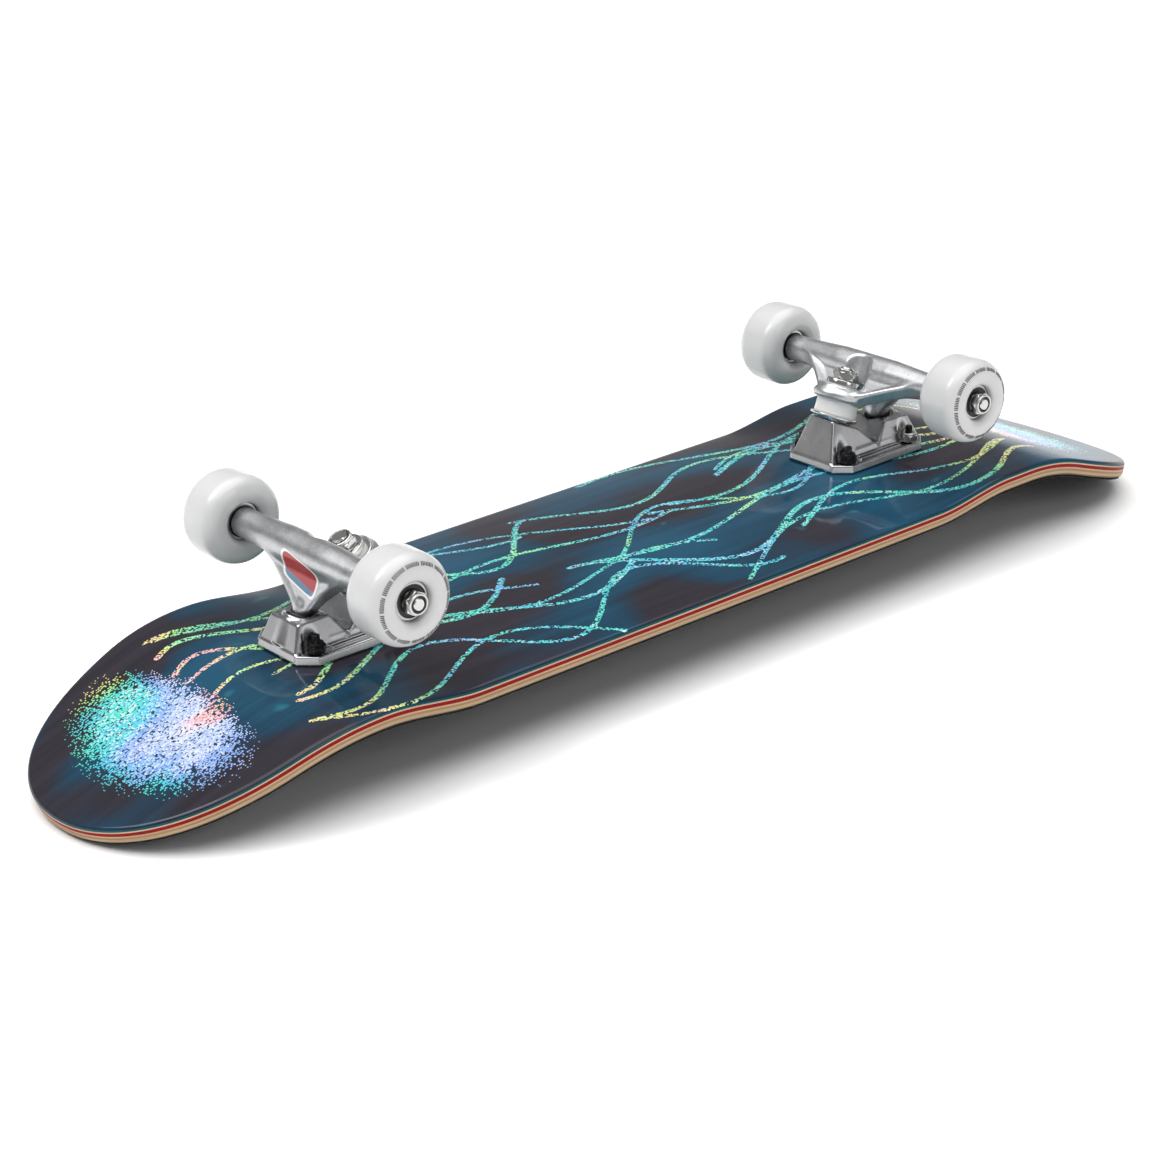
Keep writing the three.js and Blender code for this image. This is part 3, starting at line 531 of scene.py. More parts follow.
RECIPES = {
    Finish.PRINT: PrintedMaple(),
    Finish.GRIP: GripTape(),
    Finish.CAST: CastMetal(),
    Finish.POLISHED: PolishedMetal("polished_aluminium", (0.46, 0.46, 0.47), 0.23, 0.16),
    Finish.PLATED: PolishedMetal("plated_steel", (0.66, 0.655, 0.64), 0.15, 0.10),
    Finish.BLACK: BlackSteel(),
    Finish.BEARING: PolishedMetal("bearing_steel", (0.42, 0.42, 0.43), 0.2),
    Finish.SHIELD: Moulded("bearing_shield", (0.008, 0.008, 0.009), 0.45, 0.12, 600.0),
    Finish.WHEEL: Moulded("wheel_urethane", (0.60, 0.60, 0.60), 0.24, 0.02, 160.0, 0.00001, 0.3, 0.05),
    Finish.MARKS: Moulded("wheel_print", (0.012, 0.012, 0.013), 0.5, 0.1, 900.0),
    Finish.BUSHING: Moulded("bushing_urethane", (0.74, 0.74, 0.73), 0.3, 0.03, 200.0, 0.00001, 0.1, 0.2),
    Finish.PIVOT: Moulded("pivot_urethane", (0.010, 0.010, 0.011), 0.4, 0.15, 500.0),
    Finish.NYLON: Moulded("nut_nylon", (0.016, 0.016, 0.018), 0.5, 0.1, 500.0),
    Finish.LABEL: Label(),
}
MATERIALS = {finish: recipe.material() for finish, recipe in RECIPES.items()}


# ------------------------------------------------------------------ meshes


def placed(name: str, data: bpy.types.ID) -> bpy.types.Object:
    """A new object in the scene."""
    piece = bpy.data.objects.new(name, data)
    bpy.context.scene.collection.objects.link(piece)
    return piece


def shown(name: str, mesh: bpy.types.Mesh, body: str, slot: str, *nodes: str) -> bpy.types.Object:
    """Puts a finished mesh in the scene.

    Args:
        name: The piece's name.
        mesh: Its mesh, in metres in the frame's axes.
        body: The CAD body it rides on.
        slot: A material slot's name; not used.
        nodes: The CAD nodes it stands for.

    Returns:
        The piece.
    """
    piece = placed(name, mesh)
    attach(piece, body)
    if nodes:
        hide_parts(*nodes)
    LOG.info("%s: %d faces on %s", name, len(mesh.polygons), body)
    return piece


def shaded(mesh: bpy.types.Mesh, sharp: float = 34.0) -> bpy.types.Mesh:
    """Shades a mesh smooth, but for edges that turn by more than `sharp` degrees."""
    mesh.shade_smooth()
    mesh.set_sharp_from_angle(angle=math.radians(sharp))
    return mesh


def welded(mesh: bpy.types.Mesh, apart: float, sliver: float, sharp: float = 34.0) -> bpy.types.Mesh:
    """Closes a surface and shades it.

    Args:
        mesh: The mesh to mend.
        apart: Points closer than this become one, in metres.
        sliver: Edges shorter than this are dissolved, in metres.
        sharp: Edges that turn by more than this many degrees stay sharp.

    Returns:
        The same mesh, with its faces turned outwards.
    """
    shape = bmesh.new()
    shape.from_mesh(mesh)
    bmesh.ops.remove_doubles(shape, verts=shape.verts, dist=apart)
    bmesh.ops.dissolve_degenerate(shape, edges=shape.edges, dist=sliver)
    bmesh.ops.recalc_face_normals(shape, faces=shape.faces)
    shape.to_mesh(mesh)
    shape.free()
    return shaded(mesh, sharp)


def marked(mesh: bpy.types.Mesh, fields: dict[str, np.ndarray]) -> None:
    """Writes a number for each point of a mesh, under each name."""
    for name, values in fields.items():
        mesh.attributes.new(name, "FLOAT", "POINT").data.foreach_set("value", values.ravel())


def mesh_of(
    name: str, points: np.ndarray, faces: np.ndarray | list, finish: Finish, place: Matrix | None = None
) -> bpy.types.Mesh:
    """A mesh from points in millimetres.

    Args:
        name: The mesh's name.
        points: One row a point.
        faces: Corners of each face, anticlockwise from outside.
        finish: Its finish.
        place: Where it goes, in millimetres.

    Returns:
        The mesh, in metres.
    """
    mesh = bpy.data.meshes.new(name)
    mesh.from_pydata(np.asarray(points, float), [], faces if isinstance(faces, list) else faces.tolist())
    mesh.transform(Matrix.Scale(MM, 4) @ (place or Matrix.Identity(4)))
    mesh.materials.append(MATERIALS[finish])
    mesh.update()
    return mesh


def copied(mesh: bpy.types.Mesh, place: Matrix) -> bpy.types.Mesh:
    """A copy of a mesh, moved by a place in millimetres."""
    copy = mesh.copy()
    moved = place.copy()
    moved.translation = moved.translation * MM
    copy.transform(moved)
    copy.update()
    return copy


def merged(name: str, meshes: list[bpy.types.Mesh]) -> bpy.types.Mesh:
    """Several meshes as one, each keeping its finish.

    Args:
        name: The new mesh's name.
        meshes: What to join.

    Returns:
        The joined mesh.
    """
    whole = bpy.data.meshes.new(name)
    joined = bmesh.new()
    for mesh in meshes:
        found = [whole.materials.find(m.name) for m in mesh.materials]
        for i, material in enumerate(mesh.materials):
            if found[i] < 0:
                whole.materials.append(material)
                found[i] = len(whole.materials) - 1
        start = len(joined.faces)
        joined.from_mesh(mesh)
        joined.faces.ensure_lookup_table()
        for face in joined.faces[start:]:
            face.material_index = found[face.material_index]
    joined.to_mesh(whole)
    joined.free()
    return whole


def softened(corners: list[Corner], radius: float, steps: int = 3) -> list[Corner]:
    """Rounds every corner of an outline that has room for it.

    Args:
        corners: (radius, height) corners of an open line.
        radius: How far from each corner the rounding starts.
        steps: Segments of each rounding.

    Returns:
        The rounded line.
    """
    line = [corners[0]]
    for before, corner, after in zip(corners, corners[1:], corners[2:]):
        a, b, c = (np.array(p, float) for p in (before, corner, after))
        reach = min(radius, 0.45 * np.linalg.norm(a - b), 0.45 * np.linalg.norm(c - b))
        start = b + (a - b) / np.linalg.norm(a - b) * reach
        finish = b + (c - b) / np.linalg.norm(c - b) * reach
        for t in np.linspace(0.0, 1.0, steps + 1):
            line.append(tuple((1 - t) ** 2 * start + 2 * t * (1 - t) * b + t**2 * finish))
    return [*line, corners[-1]]


def turned(
    name: str,
    corners: list[Corner],
    finish: Finish,
    sides: int = 64,
    rule: Rule | None = None,
    place: Matrix | None = None,
    closed: bool = False,
) -> bpy.types.Mesh:
    """A turned solid about Z.

    Args:
        name: The mesh's name.
        corners: (radius, height) corners, anticlockwise with the radius to the right.
        finish: Its finish.
        sides: Sides round the axis.
        rule: Changes the radii: given radii, heights and angles, it returns new radii.
        place: Where it goes, in millimetres.
        closed: Whether the last corner joins the first, as on a ring.

    Returns:
        The mesh.
    """
    radii, heights = (np.array(column, float)[:, None] for column in zip(*corners))
    angles = np.linspace(0.0, 2.0 * math.pi, sides, endpoint=False)[None, :]
    radii, heights, angles = np.broadcast_arrays(radii, heights, angles)
    if rule:
        radii = rule(radii, heights, angles)
    points = np.stack([radii * np.cos(angles), radii * np.sin(angles), heights], -1).reshape(-1, 3)
    rows = len(corners)
    row = np.arange(rows if closed else rows - 1)[:, None]
    column = np.arange(sides)[None, :]
    above, beside = (row + 1) % rows, (column + 1) % sides
    corners_of = [row * sides + column, row * sides + beside, above * sides + beside, above * sides + column]
    faces = np.stack(np.broadcast_arrays(*corners_of), -1).reshape(-1, 4)
    return welded(mesh_of(name, points, faces, finish, place), 1e-7, 1e-8)


def thread_rule(pitch: float, depth: float, low: float) -> Rule:
    """A screw thread cut into a turned bar above a height.

    Args:
        pitch: From crest to crest.
        depth: From crest to root.
        low: Where the thread starts.

    Returns:
        The rule for `turned`.
    """

    def rule(radii: np.ndarray, heights: np.ndarray, angles: np.ndarray) -> np.ndarray:
        """Sinks the radii between the crests."""
        phase = (heights / pitch - angles / (2.0 * math.pi)) % 1.0
        groove = 1.0 - np.abs(2.0 * phase - 1.0)
        bites = (heights > low) & (radii > depth * 4.0)
        return radii - depth * groove * bites

    return rule


def hexagon_rule(flats: float, chamfer: float, low: float, high: float, flat_to: float) -> Rule:
    """A hexagon with chamfered corners, turned from a round blank.

    Args:
        flats: Across its flats.
        chamfer: Slope of the corner chamfers: radius lost for each millimetre towards an end.
        low: Its lower face.
        high: The top of the hexagonal part.
        flat_to: Radii up to this one stay round.

    Returns:
        The rule for `turned`.
    """

    def rule(radii: np.ndarray, heights: np.ndarray, angles: np.ndarray) -> np.ndarray:
        """Cuts the flats, and the cone that trims the corners at each end."""
        sixth = math.pi / 3.0
        reach = flats / 2.0 / np.cos((angles % sixth) - sixth / 2.0)
        from_end = np.minimum(heights - low, high - heights)
        cone = flats / 2.0 + 0.1 + chamfer * np.maximum(from_end, 0.0)
        return np.where(radii > flat_to, np.minimum(np.minimum(radii, reach), cone), radii)

    return rule


def lock_nut(
    name: str, flats: float, height: float, bore: float, finish: Finish, collar: Finish
) -> bpy.types.Mesh:
    """A hexagonal lock nut standing on z = 0, with a round collar round a nylon ring.

    Args:
        name: The mesh's name.
        flats: Across its flats.
        height: Its whole height.
        bore: The radius of its bore.
        finish: The steel's finish.
        collar: The nylon ring's finish.

    Returns:
        The mesh.
    """
    corner = flats / math.sqrt(3.0) + 0.05
    hexagon = height * 0.72
    neck = flats / 2.0 - 0.35
    seat, crest = height - 0.8, height - 0.12
    rows = [0.0, 0.25, 0.5, 0.9, hexagon / 2.0, hexagon - 0.9, hexagon - 0.5, hexagon - 0.25, hexagon]
    outline = [(bore, 0.0), (flats / 2.0 - 0.1, 0.0), *[(corner, z) for z in rows], (neck, hexagon)]
    crown = softened(
        [(neck, hexagon), (neck, height), (neck - 1.1, height), (neck - 1.1, height - 0.35)], 0.5
    )
    steel = turned(
        name,
        [*outline, *crown, (bore, height - 0.35)],
        finish,
        72,
        hexagon_rule(flats, 1.4, 0.0, hexagon, neck + 0.01),
        closed=True,
    )
    ring = softened([(bore, seat), (neck - 1.12, seat), (neck - 1.12, crest), (bore, crest)], 0.2)
    return merged(name, [steel, turned(name + "_ring", ring, collar, 48, closed=True)])


# ------------------------------------------------------------------ geometry trees


class GeometryTree:
    """A geometry tree with named inputs, which turns an object into a plain mesh."""

    def __init__(self, name: str, inputs: dict[str, float | int | bpy.types.Material]) -> None:
        """Starts a tree.

        Args:
            name: The tree's name.
            inputs: Its named sizes, and their values.
        """
        self.group = bpy.data.node_groups.new(name, "GeometryNodeTree")
        self.group.interface.new_socket("Geometry", in_out="INPUT", socket_type="NodeSocketGeometry")
        self.group.interface.new_socket("Geometry", in_out="OUTPUT", socket_type="NodeSocketGeometry")
        kinds = {float: "NodeSocketFloat", int: "NodeSocketInt", bpy.types.Material: "NodeSocketMaterial"}
        self.settings = []
        for label, value in inputs.items():
            socket = self.group.interface.new_socket(label, in_out="INPUT", socket_type=kinds[type(value)])
            self.settings.append((socket.identifier, value))
        self.nodes = Nodes(self.group)
        self.source = self.nodes.add("NodeGroupInput")

    def input(self, label: str) -> Value:
        """A named input's value."""
        return Value(self.nodes, self.source.socket.node.outputs[label])

    def finish(self, geometry: Value) -> None:
        """Ends the tree in Realize Instances and Set Material."""
        real = self.nodes.add("GeometryNodeRealizeInstances", {}, {"Geometry": geometry})
        values = {"Geometry": real, "Material": self.input("Material")}
        painted = self.nodes.add("GeometryNodeSetMaterial", {}, values)
        self.nodes.add("NodeGroupOutput", {}, {"Geometry": painted})

    def result(self, mesh: bpy.types.Mesh) -> bpy.types.Mesh:
        """Runs the tree on a mesh.

        Args:
            mesh: What goes in.

        Returns:
            The plain mesh that comes out.
        """
        blank = placed(mesh.name, mesh)
        modifier = blank.modifiers.new(self.group.name, "NODES")
        modifier.node_group = self.group
        for identifier, value in self.settings:
            modifier[identifier] = value
        shape = bpy.data.meshes.new_from_object(blank.evaluated_get(bpy.context.evaluated_depsgraph_get()))
        blank.modifiers.remove(modifier)
        bpy.data.objects.remove(blank)
        return shape


# ------------------------------------------------------------------ the board's places


def middle_of(node: str) -> Vector:
    """The middle of a CAD node's box, in millimetres."""
    low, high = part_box(node)
    return (low + high) / 2.0 / MM


class End(Enum):
    """The two ends of the board, and the way each points."""

    TAIL = -1
    NOSE = 1

    @property
    def label(self) -> str:
        """The end's name in the frame."""
        return self.name.lower()


class Side(Enum):
    """The two sides of the board."""

    RIGHT = -1
    LEFT = 1

    @property
    def label(self) -> str:
        """The side's name in the frame."""
        return self.name.lower()


class Board:
    """Where the frame puts the deck and the trucks."""

    def __init__(self) -> None:
        """Reads the places from the frame."""
        self.middle = (middle_of("tail_axle").x + middle_of("nose_axle").x) / 2.0
        self.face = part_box("deck")[1].z / MM
        self.truck_centre = (
            middle_of("nose_inner_left_bolt").x + middle_of("nose_outer_left_bolt").x
        ) / 2.0 - self.middle
        self.place = Matrix.Translation((self.middle, 0.0, self.face))

    def truck(self, end: End) -> Matrix:
        """A truck's own frame, +X outboard and the printed face at z = 0."""
        turn = Matrix.Rotation(math.pi if end is End.TAIL else 0.0, 4, "Z")
        return self.place @ Matrix.Translation((end.value * self.truck_centre, 0.0, 0.0)) @ turn

    def axle(self, end: End, side: Side) -> Matrix:
        """One side of an axle: the wheel's middle at the origin, +Z outwards along the axle."""
        wheel = middle_of(f"{end.label}_{side.label}_wheel")
        return Matrix.Translation(wheel) @ Matrix.Rotation(-side.value * math.pi / 2.0, 4, "X")


# ------------------------------------------------------------------ deck


@dataclass(frozen=True)
class Tip:
    """One end of the deck, measured along its centre line from the truck's centre."""

    flat: float
    radius: float
    angle: float
    length: float
    taper: float
    shoulder: float
    roundness: float


@dataclass(frozen=True)
class Glow:
    """The stippled oval at each end, and the foil's rainbow across it, measured from its middle."""

    reach: float = 78.0
    outboard: float = 52.0
    inboard: float = 33.0
    half_width: float = 79.0
    density: float = 1.42
    densest: float = 0.95
    hue_places: tuple[float, ...] = (-125.0, -70.0, -36.0, -20.0, -8.0, 12.0, 40.0)
    hues: tuple[float, ...] = (0.42, 0.70, 0.80, 0.92, 1.04, 1.22, 1.42)
    left_hue: float = 1.62
    left_across: Corner = (5.0, 60.0)
    left_along: Corner = (-26.0, 16.0)


@dataclass(frozen=True)
class Streamers:
    """The foil streamers of one end. Each pair is a size and how much chance adds to it."""

    count: int = 11
    points: int = 90
    overlap: float = 14.0
    stagger: float = 46.0
    length: Corner = (150.0, 200.0)
    wavelength: Corner = (130.0, 100.0)
    wave: Corner = (8.0, 19.0)
    half_width: Corner = (1.35, 0.7)
    fan_from: Corner = (74.0, 22.0)
    fan_to: Corner = (62.0, 76.0)
    fan_power: float = 1.3
    margin: float = 8.0
    nowhere_near: float = 50.0


@dataclass
class Deck:
    """The pressed deck and its grip tape: a flat blank, cut to its outline and then bent by its mould."""

    board: Board
    width: float = 197.0
    thickness: float = 10.8
    concave_drop: float = 6.7
    concave_power: float = 1.6
    concave_flat: float = 24.0
    fade_in: float = 26.0
    fade_out: float = 36.0
    nose: Tip = Tip(55.0, 142.0, 19.34, 207.0, 99.3, 2.49, 2.24)
    tail: Tip = Tip(36.3, 169.6, 19.5, 192.0, 179.0, 3.13, 2.1)
    edge_round: float = 2.7
    grip_gap: float = 0.15
    grip_thickness: float = 0.8
    grip_inset: float = 1.5
    tip_zone: float = 62.0
    tip_stations: float = 150.0
    glow: Glow = Glow()
    streamers: Streamers = Streamers()

    def half_width(self, tip: Tip, distance: np.ndarray, inset: float) -> np.ndarray:
        """Half-width of the outline at distances from the middle."""
        start = self.board.truck_centre + tip.length - tip.taper
        share = np.clip((distance - start) / (tip.taper - inset), 0.0, 1.0)
        return (self.width / 2.0 - inset) * (1.0 - share**tip.shoulder) ** (1.0 / tip.roundness)

    def outline(self, inset: float, pace: float) -> tuple[np.ndarray, np.ndarray]:
        """One side of the outline, from the tail's tip to the nose's.

        Args:
            inset: How far inside the deck's own outline.
            pace: Between stations.

        Returns:
            Points (along, across) and their outward normals.
        """
        halves = []
        for tip in (self.tail, self.nose):
            end = self.board.truck_centre + tip.length - inset
            zone = end - self.tip_zone
            straight = np.linspace(0.0, zone, int(zone / pace), endpoint=False)
            turn = np.linspace(0.0, math.pi / 2.0, int(self.tip_stations / pace))
            curved = zone + self.tip_zone * np.sin(turn)
            along = np.concatenate([straight, curved])
            halves.append(np.stack([along, self.half_width(tip, along, inset)], -1))
        tail, nose = halves
        tail[:, 0] *= -1.0
        points = np.concatenate([tail[::-1], nose[1:]])
        slope = np.gradient(points, axis=0)
        normals = np.stack([-slope[:, 1], slope[:, 0]], -1)
        normals /= np.linalg.norm(normals, axis=1)[:, None]
        normals[0], normals[-1] = (-1.0, 0.0), (1.0, 0.0)
        return points, normals

    def blank(
        self, name: str, rim: list[Corner], inset: float, pace: float, columns: tuple[int, int],
        finish: Finish
    ) -> bpy.types.Mesh:
        """A flat sheet with a shaped edge, as one closed surface.

        Args:
            name: The mesh's name.
            rim: (inset, depth) corners of its edge, from the upper face to the lower.
            inset: How far its outline lies inside the deck's.
            pace: Between stations along it.
            columns: Columns across its upper and lower faces.
            finish: Its finish.

        Returns:
            The sheet, with its flat place as the attribute "sheet".
        """
        points, normals = self.outline(inset, pace)
        left = [
            np.stack([*(points - back * normals).T, np.full(len(points), depth)], -1) for back, depth in rim
        ]
        for ring in left:
            ring[:, 1] = np.maximum(ring[:, 1], 0.0)
        right = [ring * (1.0, -1.0, 1.0) for ring in left]
        upper = [right[0] + (left[0] - right[0]) * t for t in np.linspace(0.0, 1.0, columns[0])[1:-1]]
        lower = [left[-1] + (right[-1] - left[-1]) * t for t in np.linspace(0.0, 1.0, columns[1])[1:-1]]
        loop = np.stack([*right[::-1], *upper, *left, *lower], 1)
        rows, around = loop.shape[:2]
        row, column = np.arange(rows - 1)[:, None], np.arange(around)[None, :]
        beside = (column + 1) % around
        corners = [
            row * around + column, (row + 1) * around + column, (row + 1) * around + beside,
            row * around + beside
        ]
        faces = np.stack(np.broadcast_arrays(*corners), -1).reshape(-1, 4)
        flat = loop.reshape(-1, 3)
        mesh = mesh_of(name, flat * (1.0, 1.0, -1.0), faces, finish)
        mesh.attributes.new("sheet", "FLOAT_VECTOR", "POINT").data.foreach_set("vector", flat.ravel())
        return mesh

    def mould(self, finish: Finish) -> GeometryTree:
        """The mould's rule: kicks that roll up at each end, and a concave that fades out towards them.

        Args:
            finish: The finish that the pressed sheet gets.

        Returns:
            The tree that bends a flat blank.
        """
        centre = self.board.truck_centre
        inputs: dict[str, Any] = {"Material": MATERIALS[finish]}
        for label, tip in (("Tail", self.tail), ("Nose", self.nose)):
            inputs[f"{label} Flat End"] = (centre + tip.flat) * MM
            inputs[f"{label} Radius"] = tip.radius * MM
            inputs[f"{label} Angle"] = math.radians(tip.angle)
        inputs |= {
            "Concave Drop": self.concave_drop * MM,
            "Concave Power": self.concave_power,
            "Concave Flat": self.concave_flat * MM,
            "Half Width": self.width / 2.0 * MM,
            "Fade Start": (centre - self.fade_in) * MM,
            "Fade End": (centre + self.fade_out) * MM,
            "Middle": self.board.middle * MM,
            "Face Height": self.board.face * MM,
        }
        tree = GeometryTree("deck_mould", inputs)
        n = tree.nodes
        position = n.add("GeometryNodeInputPosition")
        along, across, up = n.parts(position)
        way = n.math("SIGN", along)
        distance = abs(along)
        nose = n.math("GREATER_THAN", along, 0.0)

        def either(size: str) -> Value:
            """The tail's or the nose's size."""
            tail = tree.input(f"Tail {size}")
            return tail + nose * (tree.input(f"Nose {size}") - tail)

        flat_end, radius, angle = either("Flat End"), either("Radius"), either("Angle")
        bend = ((distance - flat_end) / radius).most(0.0).least(angle)
        beyond = (distance - flat_end - radius * angle).most(0.0)
        fade_start = tree.input("Fade Start")
        span = ((distance - fade_start) / (tree.input("Fade End") - fade_start)).most(0.0).least(1.0)
        fade = span * span * (3.0 - 2.0 * span)
        flat = tree.input("Concave Flat")
        rise = (abs(across) - flat).most(0.0) / (tree.input("Half Width") - flat)
        dish = rise ** tree.input("Concave Power")
        below = tree.input("Concave Drop") * (1.0 - fade) * dish - up
        sine, cosine = n.math("SINE", bend), n.math("COSINE", bend)
        x = distance.least(flat_end) + radius * sine + beyond * cosine - sine * below
        z = -(radius * (1.0 - cosine)) - beyond * sine - cosine * below
        values = {0: tree.input("Middle") + way * x, 1: across, 2: tree.input("Face Height") + z}
        bent = {"Geometry": tree.input("Geometry"), "Position": n.combined(values)}
        tree.finish(n.add("GeometryNodeSetPosition", {}, bent))
        return tree

    def pressed(self, blank: bpy.types.Mesh, finish: Finish) -> bpy.types.Mesh:
        """A blank bent by the mould, with the rows that meet at each tip welded."""
        return welded(self.mould(finish).result(blank), 2e-5, 1e-6, 50.0)

    def streamer_lines(self) -> list[tuple[np.ndarray, float]]:
        """The foil streamers: slow waves that run inwards from each end and cross each other.

        Returns:
            Each streamer's points on the flat blank, and its half-width.
        """
        golden = (math.sqrt(5.0) - 1.0) / 2.0
        own = self.streamers
        t = np.linspace(0.0, 1.0, own.points)
        lines = []
        for end, tip in ((-1, self.tail), (1, self.nose)):
            inner = self.board.truck_centre + tip.length - self.glow.reach - self.glow.inboard
            for i in range(own.count):
                chance = [((i + 1) * golden * (k + 1) + 0.37 * end + 0.21 * k) % 1.0 for k in range(5)]
                start = inner + own.overlap - own.stagger * chance[4]
                length = own.length[0] + own.length[1] * chance[0]
                fan = (i / (own.count - 1) - 0.5) * 2.0
                from_y = own.fan_from[0] * fan + own.fan_from[1] * (chance[3] - 0.5)
                to_y = own.fan_to[0] * fan + own.fan_to[1] * (chance[1] - 0.5)
                waves = t * length / (own.wavelength[0] + own.wavelength[1] * chance[3]) + chance[4]
                wave = (own.wave[0] + own.wave[1] * chance[2]) * np.sin(2.0 * math.pi * waves)
                swelling = np.sin(math.pi * np.minimum(0.2 + t * 2.2, 0.5))
                across = from_y + (to_y - from_y) * t**own.fan_power + wave * swelling
                half = own.half_width[0] + own.half_width[1] * chance[1]
                lines.append((np.stack([end * (start - length * t), across], -1), half))
        return lines

    def foil(self, mesh: bpy.types.Mesh) -> None:
        """Gives a blank the attributes of its print, beside its "sheet".

        Args:
            mesh: The blank, with its attribute "sheet".
        """
        sheet = np.empty(len(mesh.vertices) * 3)
        mesh.attributes["sheet"].data.foreach_get("vector", sheet)
        flat = sheet.reshape(-1, 3)[:, :2]
        nearest = np.full(len(flat), self.streamers.nowhere_near)
        for line, half in self.streamer_lines():
            low, high = line.min(0) - self.streamers.margin, line.max(0) + self.streamers.margin
            close = np.where(((flat > low) & (flat < high)).all(1))[0]
            gap = flat[close, None, :] - line[None, :-1, :]
            run = line[1:] - line[:-1]
            share = np.clip((gap * run).sum(-1) / (run**2).sum(-1), 0.0, 1.0)
            away = np.sqrt(((gap - share[..., None] * run) ** 2).sum(-1)).min(1) - half
            nearest[close] = np.minimum(nearest[close], away)
        tip = np.where(flat[:, 0] < 0.0, self.tail.length, self.nose.length)
        own = self.glow
        beyond = np.abs(flat[:, 0]) - (self.board.truck_centre + tip - own.reach)
        lengths = np.where(beyond > 0.0, own.outboard, own.inboard)
        reach = np.hypot(beyond / lengths, flat[:, 1] / own.half_width)
        glow = np.clip(own.density - own.density * reach**2.0, 0.0, own.densest)
        along = np.interp(beyond, own.hue_places, own.hues)
        aside = np.clip((flat[:, 1] - own.left_across[0]) / own.left_across[1], 0.0, 1.0)
        onward = np.clip((beyond - own.left_along[0]) / own.left_along[1], 0.0, 1.0)
        hue = along + (own.left_hue - along) * (aside * onward)
        marked(mesh, {"streamer": nearest, "glow": glow, "hue": hue})

    def build(self) -> None:
        """Makes the deck and the grip tape."""
        r, t = self.edge_round, self.thickness
        arc = [(r * (1 - math.sin(a)), r * (1 - math.cos(a))) for a in np.linspace(0.0, math.pi / 2.0, 6)]
        sides = [(0.0, d) for d in np.linspace(r, t - r, 6)[1:-1]]
        rim = [*arc, *sides, *[(i, t - d) for i, d in reversed(arc)]]
        blank = self.blank("deck_blank", rim, 0.0, 2.1, (96, 16), Finish.PRINT)
        self.foil(blank)
        shown("pressed_deck", self.pressed(blank, Finish.PRINT), "root", "printed_maple", "deck")
        top = t + self.grip_gap
        bottom = top + self.grip_thickness
        rim = [(0.25, top), (0.0, top + 0.25), (0.0, bottom - 0.2), (0.2, bottom)]
        blank = self.blank("grip_blank", rim, self.grip_inset, 6.0, (26, 26), Finish.GRIP)
        shown("grip_sheet", self.pressed(blank, Finish.GRIP), "root", "grip_tape", "grip_tape")


# ------------------------------------------------------------------ castings


class Clay:
    """Signed distances in millimetres, negative inside a solid, and soft ways to join and cut solids."""

    @staticmethod
    def join(a: np.ndarray, b: np.ndarray, fillet: float) -> np.ndarray:
        """Two solids together, with a fillet where they meet."""
        h = np.clip(0.5 + 0.5 * (b - a) / fillet, 0.0, 1.0)
        return b + (a - b) * h - fillet * h * (1.0 - h)

    @staticmethod
    def both(a: np.ndarray, b: np.ndarray, edge: float) -> np.ndarray:
        """What two solids share, with a rounded edge."""
        return -Clay.join(-a, -b, edge)

    @staticmethod
    def cut(a: np.ndarray, b: np.ndarray, edge: float) -> np.ndarray:
        """The first solid without the second, with a rounded edge."""
        return -Clay.join(-a, b, edge)

    @staticmethod
    def rounded(gaps: list[np.ndarray], radius: float) -> np.ndarray:
        """The overlap of slabs at right angles, with rounded edges."""
        stack = np.stack([gap + radius for gap in gaps])
        outside = np.sqrt((np.maximum(stack, 0.0) ** 2).sum(0))
        return outside + np.minimum(stack.max(0), 0.0) - radius

    @staticmethod
    def bar(p: np.ndarray, radius: float, low: float, high: float, edge: float = 0.5) -> np.ndarray:
        """A round bar along the third axis."""
        across = np.hypot(p[:, 0], p[:, 1]) - radius
        return Clay.rounded([across, np.abs(p[:, 2] - (low + high) / 2.0) - (high - low) / 2.0], edge)

    @staticmethod
    def rod(p: np.ndarray, a: Vector, b: Vector, radius_a: float, radius_b: float) -> np.ndarray:
        """A round-ended rod that tapers from one point to another."""
        start, run = np.array(a), np.array(b) - np.array(a)
        share = np.clip((p - start) @ run / (run @ run), 0.0, 1.0)
        away = np.linalg.norm(p - start - share[:, None] * run, axis=1)
        return away - radius_a - (radius_b - radius_a) * share

    @staticmethod
    def wedge(p: np.ndarray, faces: list[tuple[Vector, Vector]], edge: float) -> np.ndarray:
        """A convex block within planes, each a point and an outward direction."""
        block = None
        for point, direction in faces:
            n = np.array(direction.normalized())
            gap = (p - np.array(point)) @ n
            block = gap if block is None else Clay.both(block, gap, edge)
        return block


def in_frame(p: np.ndarray, place: Matrix) -> np.ndarray:
    """Points seen from a leaning frame."""
    inverse = np.array(place.inverted())
    return p @ inverse[:3, :3].T + inverse[:3, 3]


